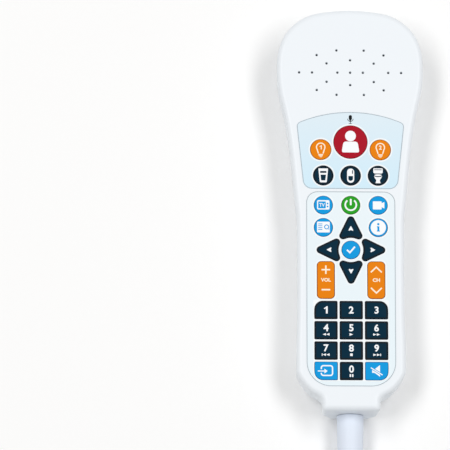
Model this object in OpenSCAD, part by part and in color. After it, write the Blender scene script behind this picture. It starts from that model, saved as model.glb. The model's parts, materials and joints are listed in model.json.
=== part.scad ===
// Bedside pillow speaker: a handset with a loudspeaker in its head, a call panel and a
// television panel of sprung keys, and a cord with a round plug. Millimetres. The back lies on
// z = 0, the keys face +Z, the loudspeaker is towards +Y and the cord leaves towards -Y.

/* [Casing] */
// Height of the front cover above the joint between the two covers
front_h = 17; // [16:0.5:20]
// Thickness of the side walls
wall = 2.2; // [1.9:0.1:2.4]
// Thickness of the front wall
face_t = 2.4; // [2.1:0.1:2.8]
// Thickness of the back wall
back_t = 2.2; // [1.8:0.1:2.6]
// Radius of the front edge
edge_r = 3; // [2:0.25:3.5]
// Radius of the back edge
back_r = 4.5; // [3.5:0.25:5.5]
// Casing beyond the loudspeaker on each side of the head
head_margin = 10.1; // [9.4:0.1:12]
// Casing from the middle of the loudspeaker to the end of the head
head_room = 34.7; // [34:0.1:38]
// Casing beyond the control panel on each side of the grip
grip_margin = 4.8; // [4.6:0.1:6]
// How much wider the lower corners are than the grip, on each side
foot_flare = 0.5; // [0:0.1:1.5]
// Width of the neck where the cord leaves
neck_w = 30.8; // [29:0.2:34]

/* [Panels] */
// Thickness of the printed panels
panel_t = 0.5; // [0.3:0.1:0.8]
// Bare strip between the two panels
panel_gap = 1.4; // [1:0.1:2]
// Control panel beyond the digit keys on each side
panel_margin = 4.35; // [3.5:0.05:5]
// Casing below the control panel
panel_foot = 12.8; // [12.8:0.1:15]
// Width of the call panel at its shoulders
call_w = 57.6; // [54:0.2:58.6]
// Width of the call panel at its lower edge
call_foot_w = 50; // [47:0.2:51]

/* [Keys] */
// Width of a digit key
digit_w = 11.9; // [10.5:0.1:12.6]
// Height of a digit key
digit_h = 9.45; // [8.5:0.05:10.5]
// Gap between neighbouring digit keys
key_gap = 1.5; // [1.3:0.05:2.5]
// Radius of the four outer corners of the digit block
digit_corner_r = 4.3; // [2:0.1:4.6]
// Width of the volume and channel rockers
rocker_w = 9; // [8:0.1:10]
// Length of the volume and channel rockers
rocker_l = 19.8; // [17:0.1:22]
// Width of an arrow key across its base
arrow_w = 11.9; // [11:0.1:12.4]
// Length of an arrow key from base to tip
arrow_l = 12.1; // [11:0.1:13]
// Diameter of the select key
select_d = 9.6; // [8.6:0.1:10.2]
// Diameter of the five round television keys
round_d = 9.7; // [8.8:0.1:10.4]
// Distance of the outer round keys from the middle
round_x = 14.6; // [13.5:0.1:15.6]
// Distance between the rows of round keys
round_row = 12.15; // [11.6:0.05:13]
// Diameter of the three request keys
request_d = 10.5; // [9.5:0.1:11.2]
// Diameter of the two light keys
light_d = 10.9; // [10:0.1:11.6]
// Diameter of the nurse call key
nurse_d = 17.8; // [16:0.1:19]
// How far the keys stand above the panels
key_rise = 0.4; // [0.2:0.1:0.8]
// How far a key travels when it is pressed
key_travel = 0.5; // [0.3:0.05:0.7]
// How far a rocker tips each way, in degrees
rocker_tip = 2.5; // [1.5:0.25:3]

/* [Loudspeaker] */
// Diameter of the loudspeaker flange
speaker_d = 58; // [57:0.2:62]
// Width of the flange across its two flats
speaker_flat = 47.6; // [47.2:0.1:50]
// Diameter of the magnet
magnet_d = 30; // [26:0.5:32]
// Diameter of the sound holes
sound_hole_d = 1.3; // [0.8:0.1:1.8]
// How far the cone moves each way
cone_travel = 0.4; // [0.2:0.05:0.5]

/* [Board] */
// Thickness of the circuit board
board_t = 1.6; // [1:0.1:2]
// Diameter of the microphone capsule
mic_d = 4; // [3.5:0.1:5]

/* [Cord] */
// Diameter of the cord
cord_d = 6.5; // [6:0.1:6.8]
// Diameter of the strain relief where it leaves the casing
relief_d = 14.2; // [13:0.1:15]
// Length of the strain relief outside the casing
relief_l = 62; // [62:1:62]
// Diameter of the strain relief at its tip
relief_tip_d = 8.4; // [8:0.1:9.4]

/* [Plug] */
// Diameter of the metal shell of the plug
plug_shell_d = 13.2; // [12.6:0.1:14.4]
// Length of the metal shell
plug_shell_l = 11; // [10:0.1:14]
// Diameter of the flange on the plug
plug_flange_d = 28; // [28:1:28]
// Thickness of the flange on the plug
plug_flange_t = 1.8; // [1.4:0.1:2.6]
// Length of the moulded boot behind the flange
plug_boot_l = 28; // [24:1:32]
// Diameter of a plug pin
plug_pin_d = 1.45; // [1:0.05:1.6]

/* [Hidden] */
ROUND_KEYS = ["key_nurse", "key_light_1", "key_light_2", "key_water", "key_medicine", "key_toilet",
    "key_tv", "key_power", "key_camera", "key_guide", "key_info", "key_select"];
ARROW_KEYS = ["key_up", "key_left", "key_down", "key_right"];
ROCKERS = ["rocker_volume", "rocker_channel"];
BLOCK_KEYS = ["key_1", "key_2", "key_3", "key_4", "key_5", "key_6", "key_7", "key_8", "key_9",
    "key_input", "key_0", "key_mute"];
$fn = 64;
// Overrun of every cut
over = 0.5;

// Clearances
key_play = 0.25;
rocker_play = 0.3;
panel_play = 0.05;
seat_play = 0.15;
pin_play = 0.05;
screw_play = 0.2;
board_play = 0.4;

// The joint between the covers runs through the middle of the strain relief, whose collar clears
// the back wall
collar_side = 1.3;
collar_space = 1.4;
collar_r = relief_d / 2 + collar_side;
split_z = back_t + collar_r + collar_space;
body_h = split_z + front_h;

// The keys below the front wall: a flange holds each one in, and a stem presses its snap dome
key_flange = 0.45;
key_flange_t = 0.8;
key_stem_l = 2.65;
key_stem_r = 1.5;
dome_space = 0.12;
dome_h = 0.38;
dome_r = 2.5;
dome_hole_r = 3.2;
dome_sheet_t = 0.8;
face_under = body_h - face_t;
flange_z = face_under - seat_play - key_flange_t;
stem_z = flange_z - key_stem_l;
dome_z = stem_z - key_travel - dome_space;
board_z1 = dome_z - dome_h;
board_z0 = board_z1 - board_t;

// Rows of the layout, counted upwards from the cord end of the casing
digit_edge = 3.5;
row_gap = 1.6;
arrow_gap = 0.5;
panel_head = 2.65;
request_edge = 2;
nurse_gap = 4.15;
light_gap = 3.4;
light_side = 1.55;
mic_gap = 0.55;
mic_space = 0.4;
key_pitch_x = digit_w + key_gap;
key_pitch_y = digit_h + key_gap;
up_digit = panel_foot + digit_edge + digit_h / 2;
up_rocker = up_digit + 3 * key_pitch_y + digit_h / 2 + row_gap + rocker_l / 2;
up_select = up_rocker + rocker_l / 2 + arrow_gap + arrow_w / 2;
up_tv = up_select + 2 * round_row;
up_call = up_tv + round_d / 2 + panel_head + panel_gap;
up_request = up_call + request_edge + request_d / 2;
up_nurse = up_request + request_d / 2 + nurse_gap + nurse_d / 2;
up_mic = up_nurse + nurse_d / 2 + key_flange + mic_gap + mic_d / 2;
up_speaker = up_mic + mic_d / 2 + mic_space + speaker_flat / 2;
body_l = up_speaker + head_room;
head_line = body_l / 2;
digit_y = up_digit - head_line;
rocker_y = up_rocker - head_line;
select_y = up_select - head_line;
guide_y = select_y + round_row;
tv_y = up_tv - head_line;
call_y = up_call - head_line;
request_y = up_request - head_line;
nurse_y = up_nurse - head_line;
light_y = request_y + request_d / 2 + light_gap + light_d / 2;
light_x = (nurse_d + light_d) / 2 + light_side;
mic_y = up_mic - head_line;
speaker_y = up_speaker - head_line;
panel_y = panel_foot - head_line;
panel_w = 3 * digit_w + 2 * key_gap + 2 * panel_margin;

// Outline of the casing. Each zone is a list of hand-chosen shares, and one smooth curve runs
// through all the points on the right-hand side, from the head to the neck.
head_w = speaker_d + 2 * head_margin;
grip_w = panel_w + 2 * grip_margin;
foot_w = grip_w + 2 * foot_flare;
head_drop = 32;
grip_drop = 119;
grip_l = 46;
foot_l = 14;
neck_l = 23;
neck_corner_r = 2;
head_y = head_line - head_drop;
grip_y = head_line - grip_drop;
foot_y = neck_l - head_line;
lean = 0.5;
back_draw = 1.7;
neck_round = 1.5;
neck_taper = 2.4;
// Shares of the half width of the head and of the drop from its end to its widest line
head_shares = [[0, 1], [0.28, 0.978], [0.52, 0.925], [0.7, 0.815], [0.85, 0.645], [0.945, 0.44],
    [0.993, 0.2], [1, 0]];
// Shares of the step from grip to head, and of the drop between them
waist_shares = [[0.98, 0.08], [0.87, 0.17], [0.66, 0.28], [0.46, 0.42], [0.3, 0.58], [0.15, 0.77],
    [0.045, 0.9], [0, 1]];
// Shares of the step from neck to lower corner, and of the neck's length
foot_shares = [[1, 0], [0.985, 0.12], [0.88, 0.25], [0.7, 0.4], [0.46, 0.545], [0.22, 0.63],
    [0.07, 0.7], [0, 0.8]];
side_points = concat(
    [for (s = head_shares) [s.x * head_w / 2, head_y + s.y * head_drop]],
    [for (s = waist_shares) [grip_w / 2 + s.x * (head_w - grip_w) / 2, head_y - s.y * (head_y - grip_y)]],
    [[grip_w / 2, grip_y - grip_l], [foot_w / 2, foot_y + foot_l]],
    [for (s = foot_shares) [neck_w / 2 + s.x * (foot_w - neck_w) / 2, foot_y - s.y * neck_l]]);

// One point of the smooth curve between b and c, with a and d before and after them
function curve(a, b, c, d, t) = (2 * b + (c - a) * t + (2 * a - 5 * b + 4 * c - d) * t * t
    + (3 * b - a - 3 * c + d) * t * t * t) / 2;
// The smooth curve through all points, in so many steps between two of them
function smooth(p, steps, before, after) = let (q = concat([before], p, [after]), last = len(p) - 1)
    concat([for (i = [0 : last - 1]) for (k = [0 : steps - 1])
        curve(q[i], q[i + 1], q[i + 2], q[i + 3], k / steps)], [p[last]]);
// Points on an arc, both ends counted
function arc(c, r, from, to, steps) = [for (k = [0 : steps]) let (a = from + (to - from) * k / steps)
    c + r * [cos(a), sin(a)]];
function backwards(p) = [for (i = [len(p) - 1 : -1 : 0]) p[i]];
// A block's outline with four corner radii, grown by g: lower left, lower right, upper right, upper left
function block_points(w, h, radii, g) = [for (i = [0 : 3]) let (r = radii[i] + g,
    c = [(i == 1 || i == 2 ? 1 : -1) * (w / 2 + g - r), (i > 1 ? 1 : -1) * (h / 2 + g - r)])
    each arc(c, r, 180 + 90 * i, 270 + 90 * i, 5)];

right_side = concat(smooth(side_points, 2, [-side_points[1].x, side_points[1].y],
        [neck_w / 2, foot_y - neck_l]),
    arc([neck_w / 2 - neck_corner_r, neck_corner_r - head_line], neck_corner_r, 0, -90, 3));
outline = concat(backwards(right_side), [for (i = [1 : len(right_side) - 1])
    [-right_side[i].x, right_side[i].y]]);
// The outline drawn in by so much at its sides, at the head and at the neck, and with the neck's sides
// brought in towards its end by the taper
function drawn_in(side, head, neck, taper = 0) = [for (p = outline) [
    p.x - sign(p.x) * (side + taper * max(0, foot_y - p.y) / neck_l)
        * (p.y > head_y ? abs(p.x) / (head_w / 2) : min(1, abs(p.x) / (neck_w / 2))),
    p.y > head_y ? p.y - head * (p.y - head_y) / head_drop
        : p.y < foot_y ? p.y + neck * (foot_y - p.y) / neck_l : p.y]];
function ring(side, head, neck, z, taper = 0) = [for (p = drawn_in(side, head, neck, taper)) [p.x, p.y, z]];

// A closed solid through rings of equally many points, from the lowest up
module loft(rings) {
    n = len(rings[0]);
    last = len(rings) - 1;
    polyhedron(points = [for (r = rings) each r], faces = concat(
        [[for (i = [0 : n - 1]) i]],
        [for (k = [0 : last - 1]) for (i = [0 : n - 1]) let (j = (i + 1) % n)
            each [[k * n + i, (k + 1) * n + i, (k + 1) * n + j], [k * n + i, (k + 1) * n + j, k * n + j]]],
        [[for (i = [n - 1 : -1 : 0]) last * n + i]]));
}
// The ring that continues the slope from ring b to ring a, past a by the overrun
function beyond(a, b) = let (s = over / abs(a[0].z - b[0].z))
    [for (i = [0 : len(a) - 1]) a[i] + s * (a[i] - b[i])];
// A loft that is cut flat at the heights of its first and last rings
module flat_loft(rings) {
    last = len(rings) - 1;
    difference() {
        loft([for (k = [0 : last]) k == 0 ? beyond(rings[0], rings[1])
            : k == last ? beyond(rings[last], rings[last - 1]) : rings[k]]);
        for (z = [rings[0][0].z - 2 * over, rings[last][0].z])
            translate([-body_l, -body_l, z])
                cube([2 * body_l, 2 * body_l, 2 * over]);
    }
}
// A tube of radius r along the points of a path that never stands upright
module tube(path, r, sides) {
    last = len(path) - 1;
    loft([for (i = [0 : last]) let (
        way = path[min(last, i + 1)] - path[max(0, i - 1)],
        t = way / norm(way),
        side = cross(t, [0, 0, 1]) / norm(cross(t, [0, 0, 1])),
        up = cross(t, side))
        [for (k = [0 : sides - 1]) let (a = 360 * k / sides) path[i] + r * (side * cos(a) + up * sin(a))]]);
}

// Bosses: the casing screws come through posts of the back cover into bosses of the front cover
boss_r = 3.1;
boss_space = 1.05;
boss_side = 0.7;
head_boss_turn = 34;
head_boss_space = 1.6;
post_r = 3.6;
post_top = 9;
screw_seat = 6;
screw_head_r = 2.6;
screw_head_t = 1.8;
screw_r = 1.2;
screw_l = 12;
screw_slot_w = 0.9;
screw_slot_d = 0.8;
screw_slot_share = 0.5;
head_boss_at = speaker_d / 2 + boss_r + head_boss_space;
mid_boss_y = (tv_y + request_y) / 2;
mid_boss_x = grip_w / 2 - wall - lean - boss_r - boss_side;
low_boss_y = digit_y - digit_h / 2 - key_flange - boss_space - boss_r;
low_boss_x = cord_d / 2 + post_r + boss_space + seat_play;
casing_bosses = [for (s = [-1, 1]) each [
    [s * head_boss_at * cos(head_boss_turn), speaker_y + head_boss_at * sin(head_boss_turn)],
    [s * mid_boss_x, mid_boss_y],
    [s * low_boss_x, low_boss_y]]];

// Circuit board, with small screws into bosses of the front cover
board_side = 1.5;
board_foot = 1.8;
board_corner_r = 6;
board_w = grip_w - 2 * (wall + lean + board_side);
board_y0 = low_boss_y + boss_r + board_foot;
board_y1 = mic_y;
small_boss_r = 2.1;
small_boss_space = 0.3;
small_head_r = 2;
small_head_t = 1.3;
small_r = 0.9;
small_l = 5.6;
small_hole_r = small_r + screw_play;
corner_in = 6.3;
corner_down = 4.6;
outer_key_x = key_pitch_x + digit_w / 2 + key_flange;
arrow_space = 1.15;
arrow_base = select_d / 2 + arrow_space;
arrow_tip_y = select_y - arrow_base - arrow_l;
digit_top_y = digit_y + 3 * key_pitch_y + digit_h / 2;
board_bosses = concat(
    [for (s = [-1, 1]) [s * (board_w / 2 - corner_in), board_y1 - corner_down]],
    [for (s = [-1, 1]) [s * (outer_key_x + small_boss_space + small_boss_r), digit_y + 2.5 * key_pitch_y]],
    [[0, mid_boss_y], [0, (arrow_tip_y + digit_top_y) / 2]]);

// Keys: name, kind, place, size, colour. A round key's size is its diameter, an arrow's the way it
// points in degrees, a block's its four corner radii.
nurse_red = "#ac1828";
light_orange = "#ec8421";
key_navy = "#012e41";
tv_blue = "#1ea5e5";
power_green = "#32a528";
digit_r = 0.5;
round_table = [["key_nurse", [0, nurse_y], nurse_d, nurse_red],
    ["key_light_1", [-light_x, light_y], light_d, light_orange],
    ["key_light_2", [light_x, light_y], light_d, light_orange],
    ["key_water", [-round_x, request_y], request_d, key_navy],
    ["key_medicine", [0, request_y], request_d, key_navy],
    ["key_toilet", [round_x, request_y], request_d, key_navy],
    ["key_tv", [-round_x, tv_y], round_d, tv_blue],
    ["key_power", [0, tv_y], round_d, power_green],
    ["key_camera", [round_x, tv_y], round_d, tv_blue],
    ["key_guide", [-round_x, guide_y], round_d, tv_blue],
    ["key_info", [round_x, guide_y], round_d, tv_blue],
    ["key_select", [0, select_y], select_d, tv_blue]];
arrow_r = 1.75;
arrow_dip = 0.85;
dome_at_share = 0.4;
function block_place(i) = [(i % 3 - 1) * key_pitch_x, digit_y + (3 - floor(i / 3)) * key_pitch_y];
function block_radii(i) = [for (k = [9, 11, 2, 0]) i == k ? digit_corner_r : digit_r];
function block_colour(i) = i == 9 || i == 11 ? tv_blue : key_navy;
rocker_r = 2.1;
function rocker_place(i) = [(2 * i - 1) * key_pitch_x, rocker_y];
rocker_skirt = 0.3;
trunnion_r = 0.9;
trunnion_l = 0.9;
trunnion_play = 0.1;
rocker_dome_share = 0.36;
rocker_dome = rocker_l * rocker_dome_share;
pivot_z = face_under - trunnion_play - trunnion_r;
rocker_stem_z = dome_z + dome_space + rocker_dome * sin(rocker_tip);

// Outline of an arrow key that points along +Y from its base line, grown by g
function arrow_points(g) = let (
    b = arrow_w / 2 - arrow_r,
    dip_r = (b * b + arrow_dip * arrow_dip) / (2 * arrow_dip) - arrow_r,
    dip_y = arrow_dip - dip_r,
    tilt = atan(b / (arrow_r - dip_y)),
    lean_a = atan(b / (arrow_l - 2 * arrow_r)))
    concat(arc([b, arrow_r], arrow_r + g, -90 - tilt, lean_a, 8),
        arc([0, arrow_l - arrow_r], arrow_r + g, lean_a, 180 - lean_a, 8),
        arc([-b, arrow_r], arrow_r + g, 180 - lean_a, 270 + tilt, 8),
        [for (a = [-tilt / 2 : tilt / 2 : tilt / 2]) [0, dip_y] + (dip_r - g) * [sin(a), cos(a)]]);

// One key's outline, grown by g, at its place on the panel
module round_shape(k, g) {
    translate(round_table[k][1])
        circle(round_table[k][2] / 2 + g);
}
module arrow_shape(i, g) {
    translate([0, select_y])
        rotate(90 * i)
            translate([0, arrow_base])
                polygon(arrow_points(g));
}
module rocker_shape(i, g) {
    translate(rocker_place(i))
        polygon(block_points(rocker_w, rocker_l, [for (k = [0 : 3]) rocker_r], g));
}
module block_shape(i, g) {
    translate(block_place(i))
        polygon(block_points(digit_w, digit_h, block_radii(i), g));
}

// The call panel: an arched top, shoulders, sides that draw in and a rounded lower edge
call_h = 42;
call_shoulder_h = 35.8;
call_shoulder_r = 2.8;
call_corner_r = 5;
arch_steps = 8;
// Where two straight edges meet at p, the arc of radius r between them
function rounded(a, p, b, r) = let (u = (a - p) / norm(a - p), v = (b - p) / norm(b - p),
    half = acos(u * v) / 2, c = p + (u + v) / norm(u + v) * r / sin(half),
    from = p + u * r / tan(half) - c, to = p + v * r / tan(half) - c,
    a0 = atan2(from.y, from.x), turn = (atan2(to.y, to.x) - a0 + 540) % 360 - 180)
    arc(c, r, a0, a0 + turn, 6);
function call_right(g) = let (
    low = [call_foot_w / 2 + g, -g],
    top = [call_w / 2 + g, call_shoulder_h],
    rise = call_h + g - call_shoulder_h,
    arch_r = (top.x * top.x + rise * rise) / (2 * rise),
    arch_a = asin(top.x / arch_r),
    arch = arc([0, call_h + g - arch_r], arch_r, 90 - arch_a, 90, arch_steps))
    concat(rounded([0, -g], low, top, call_corner_r + g), rounded(low, top, arch[1], call_shoulder_r + g),
        [for (i = [1 : arch_steps]) arch[i]]);
module call_shape(g) {
    right = call_right(g);
    translate([0, call_y])
        polygon(concat(right, [for (i = [len(right) - 2 : -1 : 0]) [-right[i].x, right[i].y]]));
}
panel_low_r = 13;
panel_top_r = 6;
control_l = call_y - panel_gap - panel_y;
module control_shape(g) {
    translate([0, panel_y + control_l / 2])
        polygon(block_points(panel_w, control_l, [panel_low_r, panel_low_r, panel_top_r, panel_top_r], g));
}

// Sound holes, as shares of the flange's radius, one quarter of the pattern
grille_shares = [[0, 0], [0.235, 0], [0.703, 0], [0.941, 0], [0, 0.235], [0.435, 0.174],
    [0.617, 0.331], [0.252, 0.42]];
module each_sound_hole() {
    for (s = grille_shares)
        for (sx = s.x > 0 ? [-1, 1] : [1])
            for (sy = s.y > 0 ? [-1, 1] : [1])
                translate([sx * s.x * speaker_d / 2, speaker_y + sy * s.y * speaker_d / 2])
                    children();
}
mic_hole_r = 0.5;

// The loudspeaker, counted downwards from the face of its flange
cloth_t = 0.3;
speaker_z = face_under - cloth_t;
speaker_flange_t = 1;
basket_t = 0.8;
// The flange keeps this land beside its flats, and the mouth takes the rest
flange_land = 1.2;
mouth_r = speaker_flat / 2 - flange_land;
basket_drop = 9.5;
basket_low_r = 15.5;
coil_hole_r = 7.5;
magnet_t = 5;
magnet_hole_r = 9;
pole_plate_t = 2;
pole_plate_r = 13;
pole_gap_r = 6.9;
pole_r = 5.6;
pole_drop = 0.2;
basket_base_z = speaker_z - basket_drop;
magnet_z = basket_base_z - basket_t;
yoke_z = magnet_z - 2 * pole_plate_t - magnet_t;
surround_w = 2.4;
cone_rim_r = mouth_r - surround_w;
cone_t = 0.5;
cone_space = 0.2;
cone_rim_drop = speaker_flange_t + cone_travel + cone_space;
cone_low_r = 6.4;
cone_low_drop = 8.6;
former_r = 6.1;
former_l = 4.6;
dust_cap_r = 7.2;
dust_cap_rise = 2.2;
dust_cap_share = 0.4;
surround_play = 0.3;
surround_t = 0.3;
surround_rise = 0.7;
speaker_screw_turn = 20;
washer_r = 3.6;
washer_t = 1;
speaker_screw_l = 2.8;
speaker_screw_at = speaker_d / 2 + small_boss_r + small_boss_space + surround_play;
speaker_bosses = [for (s = [-1, 1]) for (u = [-1, 1])
    [s * speaker_screw_at * cos(speaker_screw_turn),
        speaker_y + u * speaker_screw_at * sin(speaker_screw_turn)]];

// The strain relief sits in the end wall, half in each cover, with a collar behind the wall
end_wall = 2.6;
relief_z = split_z;
relief_neck_in = 0.9;
relief_neck_r = relief_d / 2 - relief_neck_in;
collar_t = 3;
relief_straight = 20;
relief_waist = 0.3;
relief_in_y = end_wall + seat_play + collar_t - head_line;
relief_out_y = -head_line - seat_play;
relief_end_y = relief_out_y - relief_l;
relief_steps = 10;
module along_y(y, z, x = 0) {
    translate([x, y, z])
        rotate([90, 0, 0])
            children();
}
module neck_hole(r) {
    along_y(end_wall - head_line + over, relief_z)
        cylinder(r = r, h = end_wall + 2 * over);
}

// Inner cable and its clamp
jacket_room = 8.4;
jacket_end_y = board_y0 + jacket_room;
clamp_w = 6;
clamp_back = 3;
clamp_y = jacket_end_y - clamp_back;
clamp_post_r = 2.6;
clamp_post_side = 1.4;
clamp_post_x = cord_d / 2 + clamp_post_r + clamp_post_side;
clamp_post_z = split_z - over;
ear_t = 1.8;
ear_side = 2.8;
hump_side = 1.95;
hump_t = 1.75;
saddle_side = 0.35;
saddle_drop = 2;

module front_cover() {
    color("#f1f5fa") difference() {
        union() {
            difference() {
                flat_loft(concat([ring(lean, lean, 0, split_z)],
                    [for (a = [0 : 22.5 : 90]) let (in = edge_r * (1 - cos(a)))
                        ring(in, in, in, body_h - edge_r + edge_r * sin(a))]));
                translate([0, 0, split_z - over])
                    linear_extrude(face_under - split_z + over)
                        polygon(drawn_in(wall + lean, wall + lean, end_wall));
            }
            for (p = casing_bosses)
                translate([p.x, p.y, post_top])
                    cylinder(r = boss_r, h = face_under - post_top + over);
            for (p = board_bosses)
                translate([p.x, p.y, board_z1])
                    cylinder(r = small_boss_r, h = face_under - board_z1 + over);
            for (p = speaker_bosses)
                translate([p.x, p.y, speaker_z - speaker_flange_t])
                    cylinder(r = small_boss_r, h = face_under - speaker_z + speaker_flange_t + over);
        }
        for (p = casing_bosses)
            translate([p.x, p.y, post_top - over])
                cylinder(r = screw_r + pin_play, h = screw_seat + screw_l - post_top + 2 * over);
        for (p = board_bosses)
            translate([p.x, p.y, board_z1 - over])
                cylinder(r = small_r + pin_play, h = small_l - board_t + 1.5 * over);
        for (p = speaker_bosses)
            translate([p.x, p.y, speaker_z - speaker_flange_t - over])
                cylinder(r = small_r + pin_play, h = speaker_screw_l + 1.5 * over);
        translate([0, 0, body_h - panel_t]) {
            linear_extrude(panel_t + over)
                call_shape(panel_play);
            linear_extrude(panel_t + over)
                control_shape(panel_play);
        }
        translate([0, 0, face_under - over])
            key_windows(face_t + 2 * over);
        translate([0, 0, face_under - over])
            each_sound_hole()
                cylinder(d = sound_hole_d, h = face_t + 2 * over);
        neck_hole(relief_neck_r + panel_play);
    }
}

// Every key's window and the microphone's hole, cut through so much height
module key_windows(h) {
    linear_extrude(h) {
        for (k = [0 : len(round_table) - 1])
            round_shape(k, key_play);
        for (i = [0 : 3])
            arrow_shape(i, key_play);
        for (i = [0 : 1])
            rocker_shape(i, rocker_play);
        for (i = [0 : 11])
            block_shape(i, key_play);
        translate([0, mic_y])
            circle(mic_hole_r);
    }
}

module back_cover() {
    slope = sqrt(back_r * back_r - (back_r - back_t) * (back_r - back_t)) / back_r;
    floor_in = back_draw + back_r * (1 - slope) + wall;
    // The neck narrows from below the seal down to the back's rounded edge
    rim_z = split_z - 2 * seal_h;
    rim_in = lean + (back_draw - lean) * (split_z - rim_z) / (split_z - back_r);
    color("#eceff3") difference() {
        union() {
            difference() {
                flat_loft(concat(
                    [for (a = [90 : -22.5 : 0]) let (in = back_draw + back_r * (1 - cos(a)))
                        ring(in, in, neck_round * (1 - cos(a)), back_r * (1 - sin(a)), neck_taper)],
                    [ring(rim_in, rim_in, 0, rim_z), ring(lean, lean, 0, split_z)]));
                flat_loft([ring(floor_in, floor_in, end_wall, back_t, neck_taper),
                    ring(back_draw + wall, back_draw + wall, end_wall, back_r, neck_taper),
                    ring(lean + wall, lean + wall, end_wall, split_z + over)]);
            }
            for (p = casing_bosses)
                translate([p.x, p.y, back_t - over])
                    cylinder(r = post_r, h = post_top - back_t + over);
            for (s = [-1, 1])
                translate([s * clamp_post_x, clamp_y, back_t - over])
                    cylinder(r = clamp_post_r, h = clamp_post_z - back_t + over);
            translate([-cord_d / 2 - saddle_side, clamp_y - clamp_w / 2, back_t - over])
                cube([cord_d + 2 * saddle_side, clamp_w, relief_z - saddle_drop - back_t + over]);
        }
        for (p = casing_bosses)
            translate([p.x, p.y, -over]) {
                cylinder(r = screw_head_r + screw_play, h = screw_seat + over);
                cylinder(r = screw_r + screw_play, h = post_top + 2 * over);
            }
        for (s = [-1, 1])
            translate([s * clamp_post_x, clamp_y, relief_z + ear_t - small_l - over])
                cylinder(r = small_r + pin_play, h = small_l);
        translate([0, 0, split_z - seal_h])
            linear_extrude(seal_h + over)
                seal_shape(panel_play);
        along_y(clamp_y + clamp_w, relief_z)
            cylinder(r = cord_d / 2 + panel_play, h = 2 * clamp_w);
        neck_hole(relief_neck_r + panel_play);
    }
}

// The seal lies in a groove of the back cover's rim and stops at the neck
seal_in = 1.25;
seal_w = 0.7;
seal_h = 0.8;
module seal_shape(g) {
    difference() {
        polygon(drawn_in(seal_in - g, seal_in - g, seal_in - g));
        polygon(drawn_in(seal_in + seal_w + g, seal_in + seal_w + g, seal_in + seal_w + g));
        translate([-relief_neck_r - seal_w + g, -head_line])
            square([2 * (relief_neck_r + seal_w - g), end_wall]);
    }
}
module casing_seal() {
    color("#c9ccd0") translate([0, 0, split_z - seal_h + panel_play])
        linear_extrude(seal_h - panel_play)
            seal_shape(0);
}

// A screw that stands on the underside of its head, with its shank upwards
module screw(head_r, head_t, r, l) {
    difference() {
        union() {
            translate([0, 0, -head_t])
                cylinder(r = head_r, h = head_t);
            cylinder(r = r, h = l);
        }
        for (a = [0, 90])
            rotate(a)
                translate([-head_r * screw_slot_share, -screw_slot_w / 2, -head_t - over])
                    cube([2 * head_r * screw_slot_share, screw_slot_w, screw_slot_d + over]);
    }
}
module casing_screws() {
    color("#b8bcc0")
        for (p = casing_bosses)
            translate([p.x, p.y, screw_seat])
                screw(screw_head_r, screw_head_t, screw_r, screw_l);
}
module small_screws() {
    color("#b8bcc0") {
        for (p = board_bosses)
            translate([p.x, p.y, board_z0])
                screw(small_head_r, small_head_t, small_r, small_l);
        for (s = [-1, 1])
            translate([s * clamp_post_x, clamp_y, clamp_post_z + ear_t])
                mirror([0, 0, 1])
                    screw(small_head_r, small_head_t, small_r, small_l);
    }
}

module call_panel() {
    color("#dcf0fa") difference() {
        translate([0, 0, body_h - panel_t])
            linear_extrude(panel_t)
                call_shape(0);
        translate([0, 0, face_under])
            key_windows(face_t + over);
    }
}
module control_panel() {
    color("#e8f3f7") difference() {
        translate([0, 0, body_h - panel_t])
            linear_extrude(panel_t)
                control_shape(0);
        translate([0, 0, face_under])
            key_windows(face_t + over);
    }
}

// Where the keys press: one snap dome under each key and two under each rocker
dome_places = concat(
    [for (k = round_table) k[1]],
    [for (i = [0 : 3]) let (d = arrow_base + dome_at_share * arrow_l)
        [-d * sin(90 * i), select_y + d * cos(90 * i)]],
    [for (i = [0, 1]) for (s = [-1, 1]) rocker_place(i) + [0, s * rocker_dome]],
    [for (i = [0 : 11]) block_place(i)]);
// The board's outline drawn in by so much, with notches round the casing bosses
module board_shape(g) {
    difference() {
        translate([0, (board_y0 + board_y1) / 2])
            polygon(block_points(board_w, board_y1 - board_y0, [for (i = [0 : 3]) board_corner_r], -g));
        for (p = casing_bosses)
            translate(p)
                circle(boss_r + board_play);
    }
}
dome_sheet_in = 0.8;
module dome_sheet() {
    color("#e6e1d2") translate([0, 0, board_z1])
        linear_extrude(dome_sheet_t)
            difference() {
                board_shape(dome_sheet_in);
                for (p = dome_places)
                    translate(p)
                        circle(dome_hole_r);
                for (p = board_bosses)
                    translate(p)
                        circle(small_boss_r + board_play);
            }
}
dome_top_share = 0.4;
module snap_domes() {
    color("#c8c4ae")
        for (p = dome_places)
            translate([p.x, p.y, board_z1])
                rotate_extrude()
                    polygon([[0, 0], [dome_r, 0], [dome_r * dome_top_share, dome_h], [0, dome_h]]);
}
module circuit_board() {
    color("#2f7d4f") translate([0, 0, board_z0])
        linear_extrude(board_t)
            difference() {
                board_shape(0);
                for (p = board_bosses)
                    translate(p)
                        circle(small_hole_r);
            }
}
// Chips, relays and capacitors on the back of the board: place, width, length and height as shares
// of the board's width, its length and the room behind it
chip_shares = [[0, 0.52, 0.26, 0.09, 0.12], [-0.27, 0.83, 0.22, 0.12, 0.4], [0.27, 0.83, 0.22, 0.12, 0.4],
    [0.26, 0.56, 0.18, 0.06, 0.3], [-0.27, 0.52, 0.16, 0.05, 0.1], [0, 0.39, 0.3, 0.05, 0.14],
    [-0.3, 0.34, 0.14, 0.05, 0.45], [0.3, 0.34, 0.14, 0.05, 0.45], [0.02, 0.66, 0.12, 0.03, 0.08]];
module board_chips() {
    room = board_z0 - back_t;
    l = board_y1 - board_y0;
    color("#25282c")
        for (c = chip_shares)
            translate([(c[0] - c[2] / 2) * board_w, board_y0 + (c[1] - c[3] / 2) * l,
                board_z0 - c[4] * room])
                cube([c[2] * board_w, c[3] * l, c[4] * room]);
}
socket_w = 12.5;
socket_l = 6;
socket_h = 6;
socket_gap = 15;
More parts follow.
